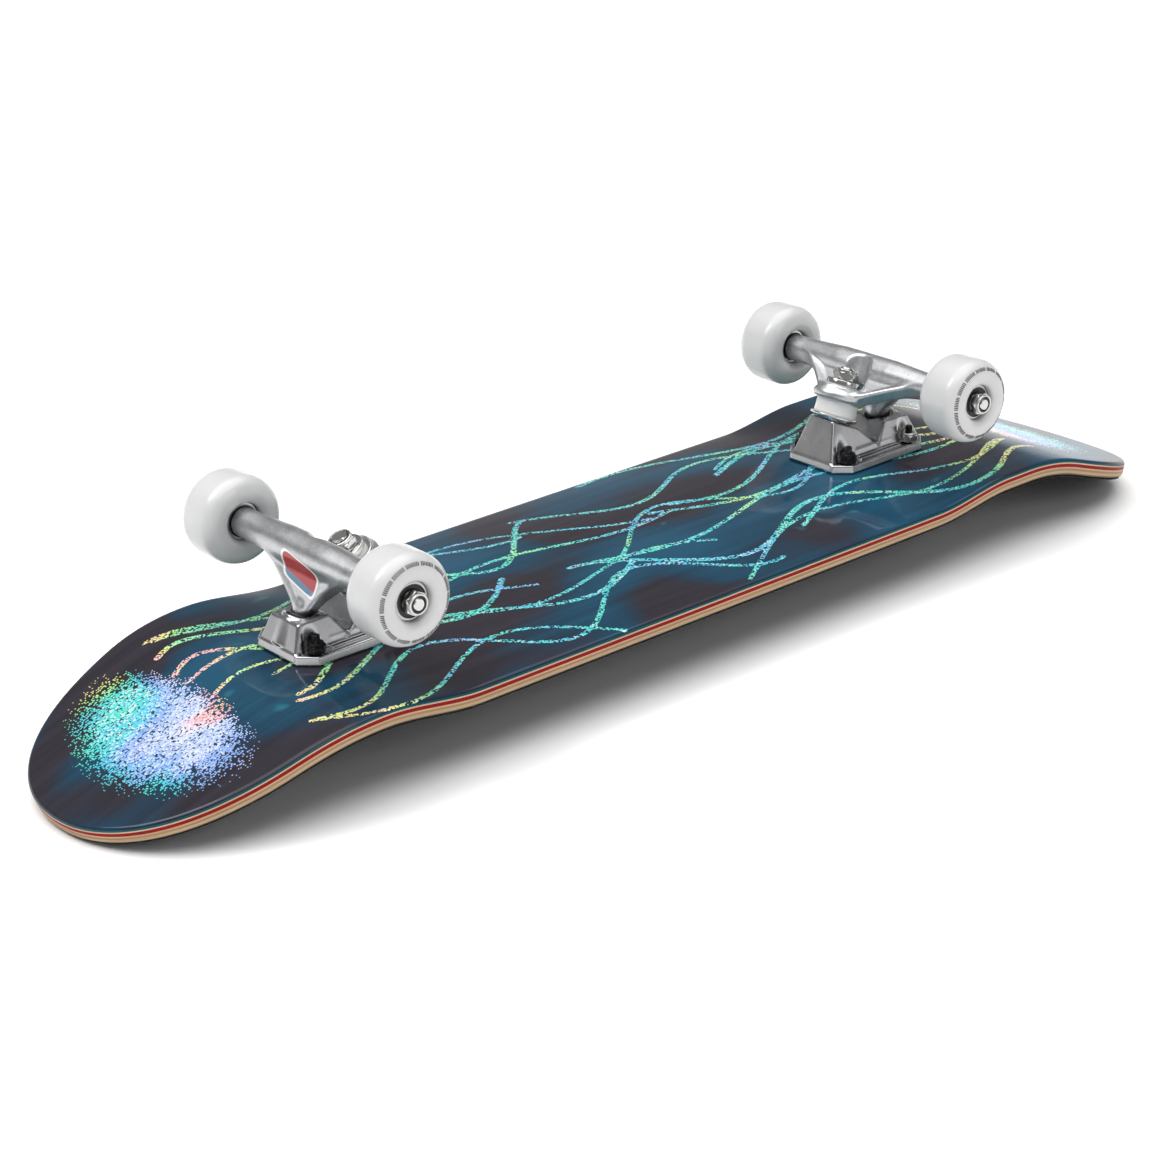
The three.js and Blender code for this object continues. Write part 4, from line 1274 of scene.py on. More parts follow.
def skinned(
    name: str, solid: Solid, low: Point, high: Point, pitch: float, finish: Finish
) -> bpy.types.Mesh:
    """The surface of a solid given by its signed distance, as quads that lie on it.

    Args:
        name: The mesh's name.
        solid: The signed distance of each of many points.
        low: The lowest corner of the block of clay.
        high: Its highest corner.
        pitch: The size of the quads.
        finish: Its finish.

    Returns:
        The mesh, in metres.
    """
    axes = [np.arange(a, b + pitch, pitch) for a, b in zip(low, high)]
    grid = np.stack(np.meshgrid(*axes, indexing="ij"), -1)
    shape = grid.shape[:3]
    value = solid(grid.reshape(-1, 3)).reshape(shape)
    cells = tuple(s - 1 for s in shape)
    total, count = np.zeros((math.prod(cells), 3)), np.zeros(math.prod(cells))
    quads = []
    for axis in range(3):
        first = [slice(None)] * 3
        second = [slice(None)] * 3
        first[axis], second[axis] = slice(None, -1), slice(1, None)
        a, b = value[tuple(first)], value[tuple(second)]
        index = np.argwhere((a < 0.0) != (b < 0.0))
        across = [(axis + 1) % 3, (axis + 2) % 3]
        inner = np.all([(index[:, k] > 0) & (index[:, k] < cells[k]) for k in across], axis=0)
        index = index[inner]
        here, there = (side[tuple(index.T)] for side in (a, b))
        crossing = index.astype(float)
        crossing[:, axis] += here / (here - there)
        corners = []
        for back in ((0, 0), (-1, 0), (-1, -1), (0, -1)):
            cell = index.copy()
            cell[:, across[0]] += back[0]
            cell[:, across[1]] += back[1]
            flat = np.ravel_multi_index(tuple(cell.T), cells)
            corners.append(flat)
            count += np.bincount(flat, minlength=len(count))
            for k in range(3):
                total[:, k] += np.bincount(flat, crossing[:, k], len(count))
        quad = np.stack(corners, -1)
        quads.append(np.where((here < 0.0)[:, None], quad, quad[:, ::-1]))
    used = np.flatnonzero(count)
    number = np.full(len(count), -1)
    number[used] = np.arange(len(used))
    points = np.array([axis[0] for axis in axes]) + pitch * total[used] / count[used, None]
    points = settled(points, solid, pitch)
    mesh = mesh_of(name, points, number[np.concatenate(quads)], finish)
    return shaded(mesh, 60.0)


def settled(points: np.ndarray, solid: Solid, pitch: float) -> np.ndarray:
    """Moves points on to a solid's surface.

    Args:
        points: Points near the surface.
        solid: The solid's signed distance.
        pitch: Twice as far as a point may move at a step.

    Returns:
        The moved points.
    """
    tiny = 0.02
    for _ in range(3):
        away = solid(points)
        slope = np.stack(
            [solid(points + step) - solid(points - step) for step in np.eye(3) * tiny], -1
        ) / (2.0 * tiny)
        steep = np.maximum((slope**2).sum(1), 0.25)
        move = slope * (away / steep)[:, None]
        size = np.maximum(np.linalg.norm(move, axis=1), 1e-9)
        points = points - move * np.minimum(1.0, 0.5 * pitch / size)[:, None]
    return points


@dataclass
class Truck:
    """A truck: baseplate, kingpin stack and hanger, in its own frame with +X outboard."""

    board: Board
    plate_length: float = 80.0
    plate_width: float = 57.0
    plate_corner: float = 9.0
    flange: float = 5.4
    gap: float = 0.15
    block_half_base: float = 17.5
    block_half_top: float = 11.5
    seat_length: float = 21.0
    saddle: float = 11.0
    boss_radius: float = 11.5
    skirt_draft: float = 0.16
    pan_margin: float = 3.4
    pan_depth: float = 0.9
    saddle_half_length: float = 16.0
    rib_places: Corner = (19.4, 22.0)
    nut_room: float = 6.9
    kingpin_lean: float = 24.0
    seat_outboard: float = -20.3
    seat_height: float = 26.2
    kingpin_radius: float = 4.76
    pivot_outboard: float = 21.6
    pivot_height: float = 18.0
    pivot_lean: float = 28.0
    pivot_cup_radius: float = 8.4
    pivot_pin_radius: float = 5.2
    axle_outboard: float = 11.7
    axle_height: float = 52.2
    half_span: float = 67.65
    tube_places: tuple[float, ...] = (0.0, 22.0, 40.0, 54.0, 68.0)
    tube_shoulder_radius: float = 9.2
    tube_end_radius: float = 8.6
    tube_middle_radius: float = 10.2
    yoke_radius: float = 17.0
    yoke_collar_radius: float = 14.6
    yoke_scoop_radius: float = 12.9
    bushing_room: float = 13.7
    kingpin_room: float = 6.6
    wing_half_span: float = 50.0
    wing_thickness: Corner = (9.5, 11.0)
    wing_dent: float = 3.0
    web_thickness: Corner = (15.0, 9.5)
    web_dent: float = 1.4
    stack_bore: float = 5.2
    right_through: float = 60.0

    def __post_init__(self) -> None:
        """Sets the leaning frames and the stack up the kingpin."""
        self.kingpin, self.pivot = (
            Matrix.Translation((outboard, 0.0, height)) @ Matrix.Rotation(math.radians(lean), 4, "Y")
            for outboard, height, lean in (
                (self.seat_outboard, self.seat_height, self.kingpin_lean),
                (self.pivot_outboard, self.pivot_height, -self.pivot_lean),
            )
        )
        self.cup_low, self.boardside, self.web = 0.3, (2.1, 15.1), (15.4, 18.2)
        self.roadside, self.washer, self.nut_low = (18.5, 24.7), (25.0, 26.2), 26.5
        self.nut_height, self.pin_high = 6.6, 34.3

    # -------------------------------------------------------------- hanger

    @staticmethod
    def curve(a: Corner, b: Corner, c: Corner, d: Corner) -> tuple[np.ndarray, np.ndarray]:
        """A Bezier curve as two lists, along and across."""
        t = np.linspace(0.0, 1.0, 40)[:, None]
        a, b, c, d = (np.array(corner) for corner in (a, b, c, d))
        points = (1 - t) ** 3 * a + 3 * t * (1 - t) ** 2 * b + 3 * t**2 * (1 - t) * c + t**3 * d
        return points[:, 0], points[:, 1]

    def fin(
        self, p: np.ndarray, start: Vector, finish: Vector, outline: tuple[np.ndarray, np.ndarray],
        thick: Corner, dent: float
    ) -> np.ndarray:
        """A flat arm in a plane that holds the Y axis, with beaded edges.

        Args:
            p: The points.
            start: Where its centre line starts.
            finish: Where it ends.
            outline: Places along it and its half-widths there.
            thick: Its thickness at the start and at the end.
            dent: How much thinner it is in the middle than at its edges.

        Returns:
            The signed distances.
        """
        run = np.array(finish) - np.array(start)
        reach = float(np.linalg.norm(run))
        along = (p - np.array(start)) @ (run / reach)
        normal = np.array([-run[2], 0.0, run[0]]) / reach
        out = np.abs((p - np.array(start)) @ normal)
        places, halves = outline
        half = np.interp(along, places, halves)
        lean = np.abs(np.interp(along, places, np.gradient(halves, places)))
        across = (np.abs(p[:, 1]) - half) / np.sqrt(1.0 + np.minimum(lean, 2.5) ** 2)
        share = np.clip(along / reach, 0.0, 1.0)
        t = thick[0] + (thick[1] - thick[0]) * share
        hollow = dent * np.clip(-across / 6.0, 0.0, 1.0) ** 1.5
        gaps = [across, out - t / 2.0 + hollow, np.abs(along - reach / 2.0) - reach / 2.0 - 2.0]
        return Clay.rounded(gaps, 2.6)

    def hanger_clay(self, p: np.ndarray) -> np.ndarray:
        """The hanger's signed distance."""
        axle = Vector((self.axle_outboard, 0.0, self.axle_height))
        yoke = self.kingpin @ Vector((0.0, 0.0, sum(self.web) / 2.0))
        pin_top = self.pivot @ Vector((0.0, 0.0, self.pivot_pin_radius))
        from_axle = np.hypot(p[:, 0] - axle.x, p[:, 2] - axle.z)
        span = np.abs(p[:, 1])
        radii = [self.tube_middle_radius] * 2 + [self.tube_shoulder_radius] + [self.tube_end_radius] * 2
        swell = np.interp(span, self.tube_places, radii)
        tube = Clay.rounded([from_axle - swell, span - self.half_span], 0.8)
        reach = (axle - yoke).length
        tip = (reach * 0.95, self.wing_half_span + 8.0)
        wing_line = self.curve((-3.0, 16.0), (reach * 0.35, 30.0), (reach * 0.62, 40.0), tip)
        wing = self.fin(p, yoke, axle, wing_line, self.wing_thickness, self.wing_dent)
        reach = (pin_top - axle).length
        tip = (reach + 2.0, self.pivot_pin_radius + 0.6)
        web_line = self.curve((0.0, 48.0), (reach * 0.30, 31.0), (reach * 0.62, 17.5), tip)
        web = self.fin(p, axle, pin_top, web_line, self.web_thickness, self.web_dent)
        socket = self.pivot @ Vector((0.0, 0.0, -5.0))
        pin = Clay.rod(p, socket, pin_top, self.pivot_pin_radius - 0.3, self.pivot_pin_radius + 0.9)
        stack = in_frame(p, self.kingpin)
        ring = Clay.bar(stack, self.yoke_radius, self.web[0] - 2.4, self.web[1] + 0.6, 2.4)
        collar = Clay.bar(stack, self.yoke_collar_radius, self.web[0], self.web[1] + 4.0, 0.9)
        body = tube
        for piece, fillet in ((wing, 3.0), (web, 3.2), (pin, 3.0), (Clay.join(ring, collar, 3.0), 4.5)):
            body = Clay.join(body, piece, fillet)
        scoop = Clay.bar(stack, self.yoke_scoop_radius, self.web[1], self.right_through, 2.0)
        below = Clay.bar(stack, self.bushing_room, -5.0, self.web[0], 0.3)
        hole = Clay.bar(stack, self.kingpin_room, -5.0, self.right_through, 0.2)
        for room, edge in ((scoop, 1.2), (below, 0.6), (hole, 0.5)):
            body = Clay.cut(body, room, edge)
        return body

    def hanger(self) -> bpy.types.Mesh:
        """The hanger, in the truck's own frame."""
        return skinned("hanger", self.hanger_clay, (-33.0, -70.0, 6.0), (31.0, 70.0, 67.0), 0.8, Finish.CAST)

    # -------------------------------------------------------------- baseplate

    def tower(self, p: np.ndarray, side: list[tuple[Corner, Corner]], edge: float) -> np.ndarray:
        """A drafted tower of the baseplate, from the corners of its side view.

        Args:
            p: The points.
            side: Edges of its side view, each a pair of (outboard, height) corners, clockwise.
            edge: How soft its edges are.

        Returns:
            The signed distances.
        """
        top = self.gap + self.flange
        lean = (self.block_half_base - self.block_half_top) / (self.seat_height - top)
        faces = [(Vector((0.0, s * self.block_half_base, top)), Vector((0.0, s, lean))) for s in (-1.0, 1.0)]
        faces.append((Vector((0.0, 0.0, self.gap + 1.0)), Vector((0.0, 0.0, -1.0))))
        for (x0, z0), (x1, z1) in side:
            faces.append((Vector((x0, 0.0, z0)), Vector((z0 - z1, 0.0, x1 - x0))))
        return Clay.wedge(p, faces, edge)

    def baseplate_clay(self, p: np.ndarray) -> np.ndarray:
        """The baseplate's signed distance."""
        half, side, c = self.plate_length / 2.0, self.plate_width / 2.0, self.plate_corner
        top = self.gap + self.flange
        span, width = np.abs(p[:, 0]), np.abs(p[:, 1])
        corner = (span + width - (half + side - c)) / math.sqrt(2.0)
        rim = np.maximum.reduce([span - half, width - side, corner])
        skirt = rim + self.skirt_draft * (p[:, 2] - self.gap)
        flange = Clay.both(skirt, np.abs(p[:, 2] - (self.gap + top) / 2.0) - self.flange / 2.0, 0.9)
        pan = Clay.both(rim + self.pan_margin, top - self.pan_depth - p[:, 2], 0.4)
        flange = Clay.cut(flange, pan, 0.7)
        seat_in = self.kingpin @ Vector((-self.seat_length / 2.0, 0.0, 0.0))
        seat_out = self.kingpin @ Vector((self.seat_length / 2.0, 0.0, 0.0))
        kingpin_side = [
            ((1.0 - half, top), (seat_in.x, seat_in.z)),
            ((seat_in.x, seat_in.z), (seat_out.x, seat_out.z)),
            ((seat_out.x, seat_out.z), (0.0, self.saddle)),
        ]
        boss_top = self.pivot @ Vector((self.boss_radius, 0.0, 0.0))
        boss_side = [
            ((self.pivot_outboard - 16.0, self.saddle), (self.pivot_outboard - 9.5, 20.5)),
            ((self.pivot_outboard - 9.5, 21.0), (boss_top.x + 1.0, boss_top.z - 3.0)),
            ((boss_top.x + 1.0, boss_top.z - 3.0), (half - 1.0, top)),
        ]
        block = self.tower(p, kingpin_side, 1.3)
        sides = [width - self.block_half_base + 1.5, span - self.saddle_half_length]
        saddle = Clay.rounded([*sides, p[:, 2] - self.saddle + 1.5, 1.0 - p[:, 2]], 1.2)
        boss = self.tower(p, boss_side, 1.3)
        mouth = Clay.bar(in_frame(p, self.pivot), self.boss_radius - 0.8, -18.0, -0.1, 0.9)
        body = Clay.join(flange, Clay.join(block, saddle, 2.0), 1.2)
        body = Clay.join(body, Clay.join(boss, mouth, 1.6), 1.2)
        for i, rib in enumerate(self.rib_places):
            sides = [np.abs(width - rib) - 0.8, span - 17.0 - i]
            strip = Clay.rounded([*sides, p[:, 2] - top - 0.9 + 0.5 * i, 2.0 - p[:, 2]], 0.4)
            body = Clay.join(body, strip, 0.5)
        around_nut = np.hypot(span - BOLT_SPACING[0] / 2.0, width - BOLT_SPACING[1] / 2.0)
        notch = Clay.rounded([around_nut - self.nut_room, top - p[:, 2]], 0.6)
        socket = Clay.bar(in_frame(p, self.pivot), self.pivot_cup_radius + 0.2, -11.3, 30.0, 0.2)
        far, bore = self.right_through, self.kingpin_radius + 0.35
        hole = Clay.bar(in_frame(p, self.kingpin), bore, -far, far, 0.2)
        for room, edge in ((notch, 1.2), (socket, 0.5), (hole, 0.4)):
            body = Clay.cut(body, room, edge)
        return np.maximum(body, self.gap - p[:, 2])

    def baseplate(self) -> bpy.types.Mesh:
        """The baseplate, in the truck's own frame."""
        return skinned(
            "baseplate", self.baseplate_clay, (-41.0, -29.5, -0.6), (41.0, 29.5, 33.0), 0.56, Finish.POLISHED
        )

    # -------------------------------------------------------------- kingpin stack

    def stack(self) -> dict[str, bpy.types.Mesh]:
        """The pieces on the kingpin, about its own axis.

        Returns:
            Each piece's mesh, by its name in the frame.
        """
        r, bore, top = self.kingpin_radius, self.stack_bore, self.pin_high
        head = [(0.0, -24.0), (6.9, -24.0), (6.9, -18.5), (r, -18.5)]
        pin = [*head, *[(r, z) for z in np.arange(24.0, top - 0.6, 0.21)], (r - 0.6, top), (0.0, top)]
        low = self.cup_low
        rim = [(15.1, 2.2), (15.1, 3.4), (14.3, 3.4), (12.8, 1.8)]
        cup = softened([(bore, low), (13.0, low), *rim, (bore, 1.8)], 0.6)
        low, high = self.boardside
        bulge = [(12.2, low), (13.4, low + 2.0), (13.3, low + 6.5), (13.4, high - 2.0), (12.6, high)]
        barrel = softened([(bore, low), *bulge, (bore, high)], 1.6, 5)
        low, high = self.roadside
        cone = softened([(bore, low), (11.4, low), (11.2, low + 2.0), (9.6, high), (bore, high)], 0.8)
        low, high = self.washer
        rim = [(9.7, low), (10.2, low - 1.7), (10.9, low - 1.7), (10.5, high)]
        washer = softened([(bore, low), *rim, (bore, high)], 0.4)
        nut = lock_nut("kingpin_nut", 14.3, self.nut_height, r + 0.06, Finish.PLATED, Finish.NYLON)
        return {
            "kingpin": turned("kingpin", pin, Finish.PLATED, 48, thread_rule(1.06, 0.45, 24.0)),
            "cup_washer": turned("cup_washer", cup, Finish.PLATED, 80, closed=True),
            "boardside_bushing": turned("boardside_bushing", barrel, Finish.BUSHING, 80, closed=True),
            "roadside_bushing": turned("roadside_bushing", cone, Finish.BUSHING, 80, closed=True),
            "top_washer": turned("top_washer", washer, Finish.PLATED, 64, closed=True),
            "kingpin_nut": copied(
                nut, Matrix.Translation((0.0, 0.0, self.nut_low)) @ Matrix.Rotation(0.3, 4, "Z")
            ),
        }

    def pivot_cup(self) -> bpy.types.Mesh:
        """The pivot cup, about its own axis, with the rolled lip that shows round the pin."""
        r = self.pivot_cup_radius
        lip = [(r, -0.2), (r + 0.5, 0.4), (r + 0.1, 1.3), (r - 1.5, 1.3), (r - 2.2, 0.2)]
        outline = [(0.0, -11.0), (r, -11.0), *lip, (r - 2.2, -8.8), (0.0, -8.8)]
        return turned("pivot_cup", softened(outline, 0.4), Finish.PIVOT, 56)

    def label(self, end: End) -> bpy.types.Mesh:
        """A plain label on the hanger's outer face, laid on the casting.

        Args:
            end: The truck that carries it.

        Returns:
            The label, in the frame's axes.
        """
        size = (16.5, 9.6)
        columns, rows = 60, 40
        u, v = np.meshgrid(np.linspace(-1.0, 1.0, columns), np.linspace(-1.0, 1.0, rows), indexing="ij")
        square = np.maximum(np.abs(u), np.abs(v))
        squeeze = square / np.maximum((np.abs(u) ** 5 + np.abs(v) ** 5) ** 0.2, 1e-9)
        across, down = u * squeeze * size[0], v * squeeze * size[1]
        tilt = math.radians(-14.0)
        y = across * math.cos(tilt) - down * math.sin(tilt)
        z = 43.4 + across * math.sin(tilt) + down * math.cos(tilt)
        points = np.stack([np.full(y.size, self.axle_outboard + 12.5), y.ravel(), z.ravel()], -1)
        for _ in range(14):
            points[:, 0] -= 0.8 * (self.hanger_clay(points) - 0.12)
        index = np.arange(columns * rows).reshape(columns, rows)
        corners = [index[:-1, :-1], index[1:, :-1], index[1:, 1:], index[:-1, 1:]]
        faces = np.stack(corners, -1).reshape(-1, 4)
        mesh = mesh_of("hanger_label", points, faces, Finish.LABEL, self.board.truck(end))
        marked(mesh, {"inside": (1.0 - square) * size[1], "bar": -down - 4.6})
        return shaded(mesh)

    def pour(self, node: str, mesh: bpy.types.Mesh, place: Matrix, span: Corner) -> None:
        """Puts a bushing in the scene, between the baseplate and the hanger.

        Args:
            node: The bushing's CAD node.
            mesh: The bushing, about the kingpin's axis.
            place: The truck's own frame.
            span: The heights of its still end and its moving end on the kingpin; not used.
        """
        piece = placed(f"{node}_poured", copied(mesh, place @ self.kingpin))
        ends = [(place @ self.kingpin @ Vector((0.0, 0.0, z))) * MM for z in span]
        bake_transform(piece)
        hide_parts(node)

    def build(self) -> None:
        """Makes both trucks, but for what sits on the axles."""
        hanger, baseplate, cup = self.hanger(), self.baseplate(), self.pivot_cup()
        stack = self.stack()
        spans = {"boardside_bushing": self.boardside, "roadside_bushing": self.roadside[::-1]}
        for end in End:
            place, e = self.board.truck(end), end.label
            shown(f"{e}_cast_hanger", copied(hanger, place), f"{e}_truck", "cast_aluminium", f"{e}_hanger")
            plate = copied(baseplate, place)
            shown(f"{e}_polished_baseplate", plate, "root", "polished_aluminium", f"{e}_baseplate")
            sleeve = copied(cup, place @ self.pivot)
            shown(f"{e}_pivot_sleeve", sleeve, "root", "pivot_urethane", f"{e}_pivot_cup")
            for name, mesh in stack.items():
                node = f"{e}_{name}"
                if name in spans:
                    self.pour(node, mesh, place, spans[name])
                else:
                    shown(f"{node}_turned", copied(mesh, place @ self.kingpin), "root", "plated_steel", node)
        shown("tail_hanger_label", self.label(End.TAIL), "tail_truck", "cast_aluminium")


# ------------------------------------------------------------------ truck bolts


@dataclass
class TruckBolts:
    """Eight flat-headed bolts and their lock nuts, in a rectangle at each truck."""

    board: Board
    radius: float = 2.4
    head_radius: float = 4.7
    head_height: float = 2.8
    nut_flats: float = 9.5
    nut_height: float = 5.6
    nut_bottom: float = 5.7
    stick_out: float = 4.4
    low: float = -11.75

    def bolt(self) -> bpy.types.Mesh:
        """One bolt, upright, with a round recess in its head below."""
        high = self.nut_bottom + self.nut_height + self.stick_out
        neck = self.low + self.head_height
        rows = [(self.radius, z) for z in np.arange(self.nut_bottom, high - 0.4, 0.16)]
        low, wide = self.low, self.head_radius
        recess = [(0.0, low + 2.0), (1.5, low + 1.9), (1.6, low - 0.12)]
        head = [(wide - 0.2, low - 0.12), (wide, low), (self.radius, neck)]
        outline = [*recess, *head, *rows, (self.radius - 0.5, high), (0.0, high)]
        return turned("bolt", outline, Finish.BLACK, 32, thread_rule(0.79, 0.34, self.nut_bottom))

    def pattern(self, finish: Finish, silver: int, only: bool) -> GeometryTree:
        """The rule that sets a bolt or nut at each of the eight places.

        Args:
            finish: The finish that they get.
            silver: The place that holds the odd one, counted from the tail and from the right.
            only: Whether to set the odd one alone, or all the others.

        Returns:
            The tree.
        """
        inputs = {
            "Material": MATERIALS[finish],
            "Truck Centre": self.board.truck_centre * MM,
            "Spacing X": BOLT_SPACING[0] * MM,
            "Spacing Y": BOLT_SPACING[1] * MM,
            "Middle": self.board.middle * MM,
            "Face Height": self.board.face * MM,
            "Odd Place": silver,
        }
        tree = GeometryTree("bolt_pattern", inputs)
        n = tree.nodes
        sizes = {"Size X": 3.0, "Size Y": 1.0, "Vertices X": 4, "Vertices Y": 2}
        grid = n.add("GeometryNodeMeshGrid", {}, sizes)
        u, v, _ = n.parts(n.add("GeometryNodeInputPosition"))
        out = tree.input("Truck Centre") + (abs(u) - 1.0) * tree.input("Spacing X")
        x = tree.input("Middle") + n.math("SIGN", u) * out
        place = n.combined({0: x, 1: v * tree.input("Spacing Y"), 2: tree.input("Face Height")})
        points = n.add("GeometryNodeSetPosition", {}, {"Geometry": grid, "Position": place})
        odd = n.math("COMPARE", n.add("GeometryNodeInputIndex"), tree.input("Odd Place"), 0.1)
        spin = n.add("FunctionNodeRandomValue", {"data_type": "FLOAT"}, {2: 0.0, 3: 6.283, "Seed": 11}, 1)
        turn = n.combined({2: spin})
        values = {
            "Points": points,
            "Selection": odd if only else 1.0 - odd,
            "Instance": tree.input("Geometry"),
            "Rotation": turn,
        }
        tree.finish(n.add("GeometryNodeInstanceOnPoints", {}, values))
        return tree

    def build(self) -> None:
        """Makes the bolts and nuts of both trucks."""
        names = [f"{e.label}_{reach}_{s.label}" for e in End for reach in ("inner", "outer") for s in Side]
        nowhere, nose_outer_right = 99, 6
        bolts = self.pattern(Finish.BLACK, nowhere, False).result(self.bolt())
        shown("truck_bolts", shaded(bolts), "root", "black_steel", *[f"{n}_bolt" for n in names])
        lift = Matrix.Translation((0.0, 0.0, self.nut_bottom))
        for name, steel, only in (
            ("black_truck_nuts", Finish.BLACK, False), ("silver_truck_nut", Finish.PLATED, True)
        ):
            nut = copied(
                lock_nut(name, self.nut_flats, self.nut_height, self.radius, steel, Finish.NYLON), lift
            )
            placed = self.pattern(steel, nose_outer_right, only).result(nut)
            stands_for = [n for n in names if (n == "nose_outer_right") == only]
            slot = "plated_steel" if only else "black_steel"
            shown(name, shaded(placed), "root", slot, *[f"{n}_nut" for n in stands_for])


# ------------------------------------------------------------------ wheels


@dataclass
class Wheel:
    """A wheel with its bearings, and what sits on the axle beside it, about Z with +Z outwards."""

    board: Board
    radius: float = 26.0
    width: float = 32.0
    edge: float = 9.1
    core_radius: float = 8.5
    hub_radius: float = 12.4
    bearing_radius: float = 11.0
    bearing_width: float = 7.0
    spacer_length: float = 9.5
    spacer_radius: float = 5.6
    axle_half_length: float = 98.8
    axle_thread: float = 9.0
    washer: float = 0.9
    washer_radius: float = 6.4
    nut_flats: float = 12.7
    nut_height: float = 5.7
    print_radius: float = 21.3
    print_marks: int = 126
    print_word: int = 9
    mark_length: float = 2.5
    mark_width: float = 0.5
    mark_thickness: float = 0.22

    def tyre(self) -> bpy.types.Mesh:
        """The poured urethane: round shoulders, a dished face and a lip round each bearing."""
        half, flat = self.width / 2.0, self.width / 2.0 - self.edge
        shoulder = self.radius - self.edge
        seat, floor = self.bearing_radius + 0.02, self.spacer_length / 2.0 - 0.15
        arc = np.linspace(0.0, math.pi / 2.0, 15)
        outer = [(shoulder + self.edge * math.sin(a), flat + self.edge * math.cos(a)) for a in arc]
        bore = [(seat, floor), (seat, half - 2.6), (seat + 0.9, half - 1.35)]
        dish = [(self.hub_radius + 1.0, half - 0.55), (15.0, half - 0.06)]
        face = softened([*bore, *dish, outer[0]], 0.7)
        up = [*face, *outer[1:]]
        down = [(r, -z) for r, z in up]
        core = [(self.core_radius, -floor), (self.core_radius, floor)]
        return turned("tyre", [*core, *up, *down[::-1]][::-1], Finish.WHEEL, 128, closed=True)

    def marks(self) -> bpy.types.Mesh:
        """A ring of small plain print marks round the outer shoulder."""
        shoulder = self.radius - self.edge
        sine = (self.print_radius - shoulder) / self.edge
        height = self.width / 2.0 - self.edge + self.edge * math.sqrt(1.0 - sine**2)
        inputs = {
            "Material": MATERIALS[Finish.MARKS],
            "Marks": self.print_marks,
            "Ring Radius": self.print_radius * MM,
            "Height": height * MM,
            "Lean": math.asin(sine),
            "Mark Length": self.mark_length * MM,
            "Mark Width": self.mark_width * MM,
            "Mark Thickness": self.mark_thickness * MM,
            "Word": self.print_word,
        }
        tree = GeometryTree("print_ring", inputs)
        n = tree.nodes
        ring = n.add(
            "GeometryNodeMeshCircle", {},
            {"Vertices": tree.input("Marks"), "Radius": tree.input("Ring Radius")}
        )
        index = n.add("GeometryNodeInputIndex")
        turn = math.tau * index / tree.input("Marks")
        sizes = enumerate(("Length", "Width", "Thickness"))
        size = n.combined({i: tree.input(f"Mark {name}") for i, name in sizes})
        mark = n.add("GeometryNodeMeshCube", {}, {"Size": size})
        lean = n.combined({1: tree.input("Lean")})
        tilted = n.add("GeometryNodeTransform", {}, {"Geometry": mark, "Rotation": lean})
        gap = n.math("COMPARE", n.math("FLOORED_MODULO", index, tree.input("Word")), 0.0, 0.1)
        squash = n.add("FunctionNodeRandomValue", {"data_type": "FLOAT"}, {2: 0.72, 3: 1.0, "Seed": 5}, 1)
        values = {
            "Points": ring,
            "Selection": 1.0 - gap,
            "Instance": tilted,
            "Rotation": n.combined({2: turn}),
            "Scale": n.combined({0: squash, 1: 1.0, 2: 1.0}),
        }
        placed = n.add("GeometryNodeInstanceOnPoints", {}, values)
        lift = n.combined({2: tree.input("Height")})
        tree.finish(n.add("GeometryNodeTransform", {}, {"Geometry": placed, "Translation": lift}))
        return tree.result(bpy.data.meshes.new("print_ring"))

    def bearing(self) -> bpy.types.Mesh:
        """A shielded bearing standing on z = 0, its shields at both faces."""
        w, r = self.bearing_width, self.bearing_radius
        outer = softened([(9.3, 0.0), (r, 0.0), (r, w), (9.3, w)], 0.4)
        bore = AXLE_RADIUS + 0.08
        inner = softened([(bore, 0.0), (5.9, 0.0), (5.9, w), (bore, w)], 0.4)
        below = [(5.95, 0.45), (7.2, 0.2), (8.4, 0.2), (9.28, 0.5)]
        shield = softened([*below, *[(x, w - z) for x, z in below[::-1]]], 0.3)
        rings = {"outer_race": (outer, Finish.BEARING), "inner_race": (inner, Finish.BEARING)}
        rings["shield"] = (shield, Finish.SHIELD)
        meshes = [turned(name, line, finish, 64, closed=True) for name, (line, finish) in rings.items()]
        return merged("bearing", meshes)

    def axle(self, end: End) -> bpy.types.Mesh:
        """The axle, threaded at both ends, in the frame's axes."""
        half = self.axle_half_length
        rows = [(AXLE_RADIUS, z) for z in np.arange(half - self.axle_thread, half - 0.7, 0.2)]
        up = [*rows, (AXLE_RADIUS - 0.7, half), (0.0, half)]
        down = [(r, -z) for r, z in up]
        place = Matrix.Translation(middle_of(f"{end.label}_axle")) @ Matrix.Rotation(math.pi / 2.0, 4, "X")
        cut = thread_rule(1.0, 0.42, 0.0)

        def both(radii: np.ndarray, heights: np.ndarray, angles: np.ndarray) -> np.ndarray:
            """Threads only the last stretch of each end."""
            threaded = cut(radii, np.abs(heights), angles * np.sign(heights))
            return np.where(np.abs(heights) > half - self.axle_thread, threaded, radii)

        return turned("axle", [*down[::-1], *up], Finish.PLATED, 40, both, place)

    @staticmethod
    def sleeve(name: str, bore: float, radius: float, low: float, high: float, edge: float) -> bpy.types.Mesh:
        """A plated ring round the axle, with soft edges."""
        outline = softened([(bore, low), (radius, low), (radius, high), (bore, high)], edge)
        return turned(name, outline, Finish.PLATED, 48, closed=True)

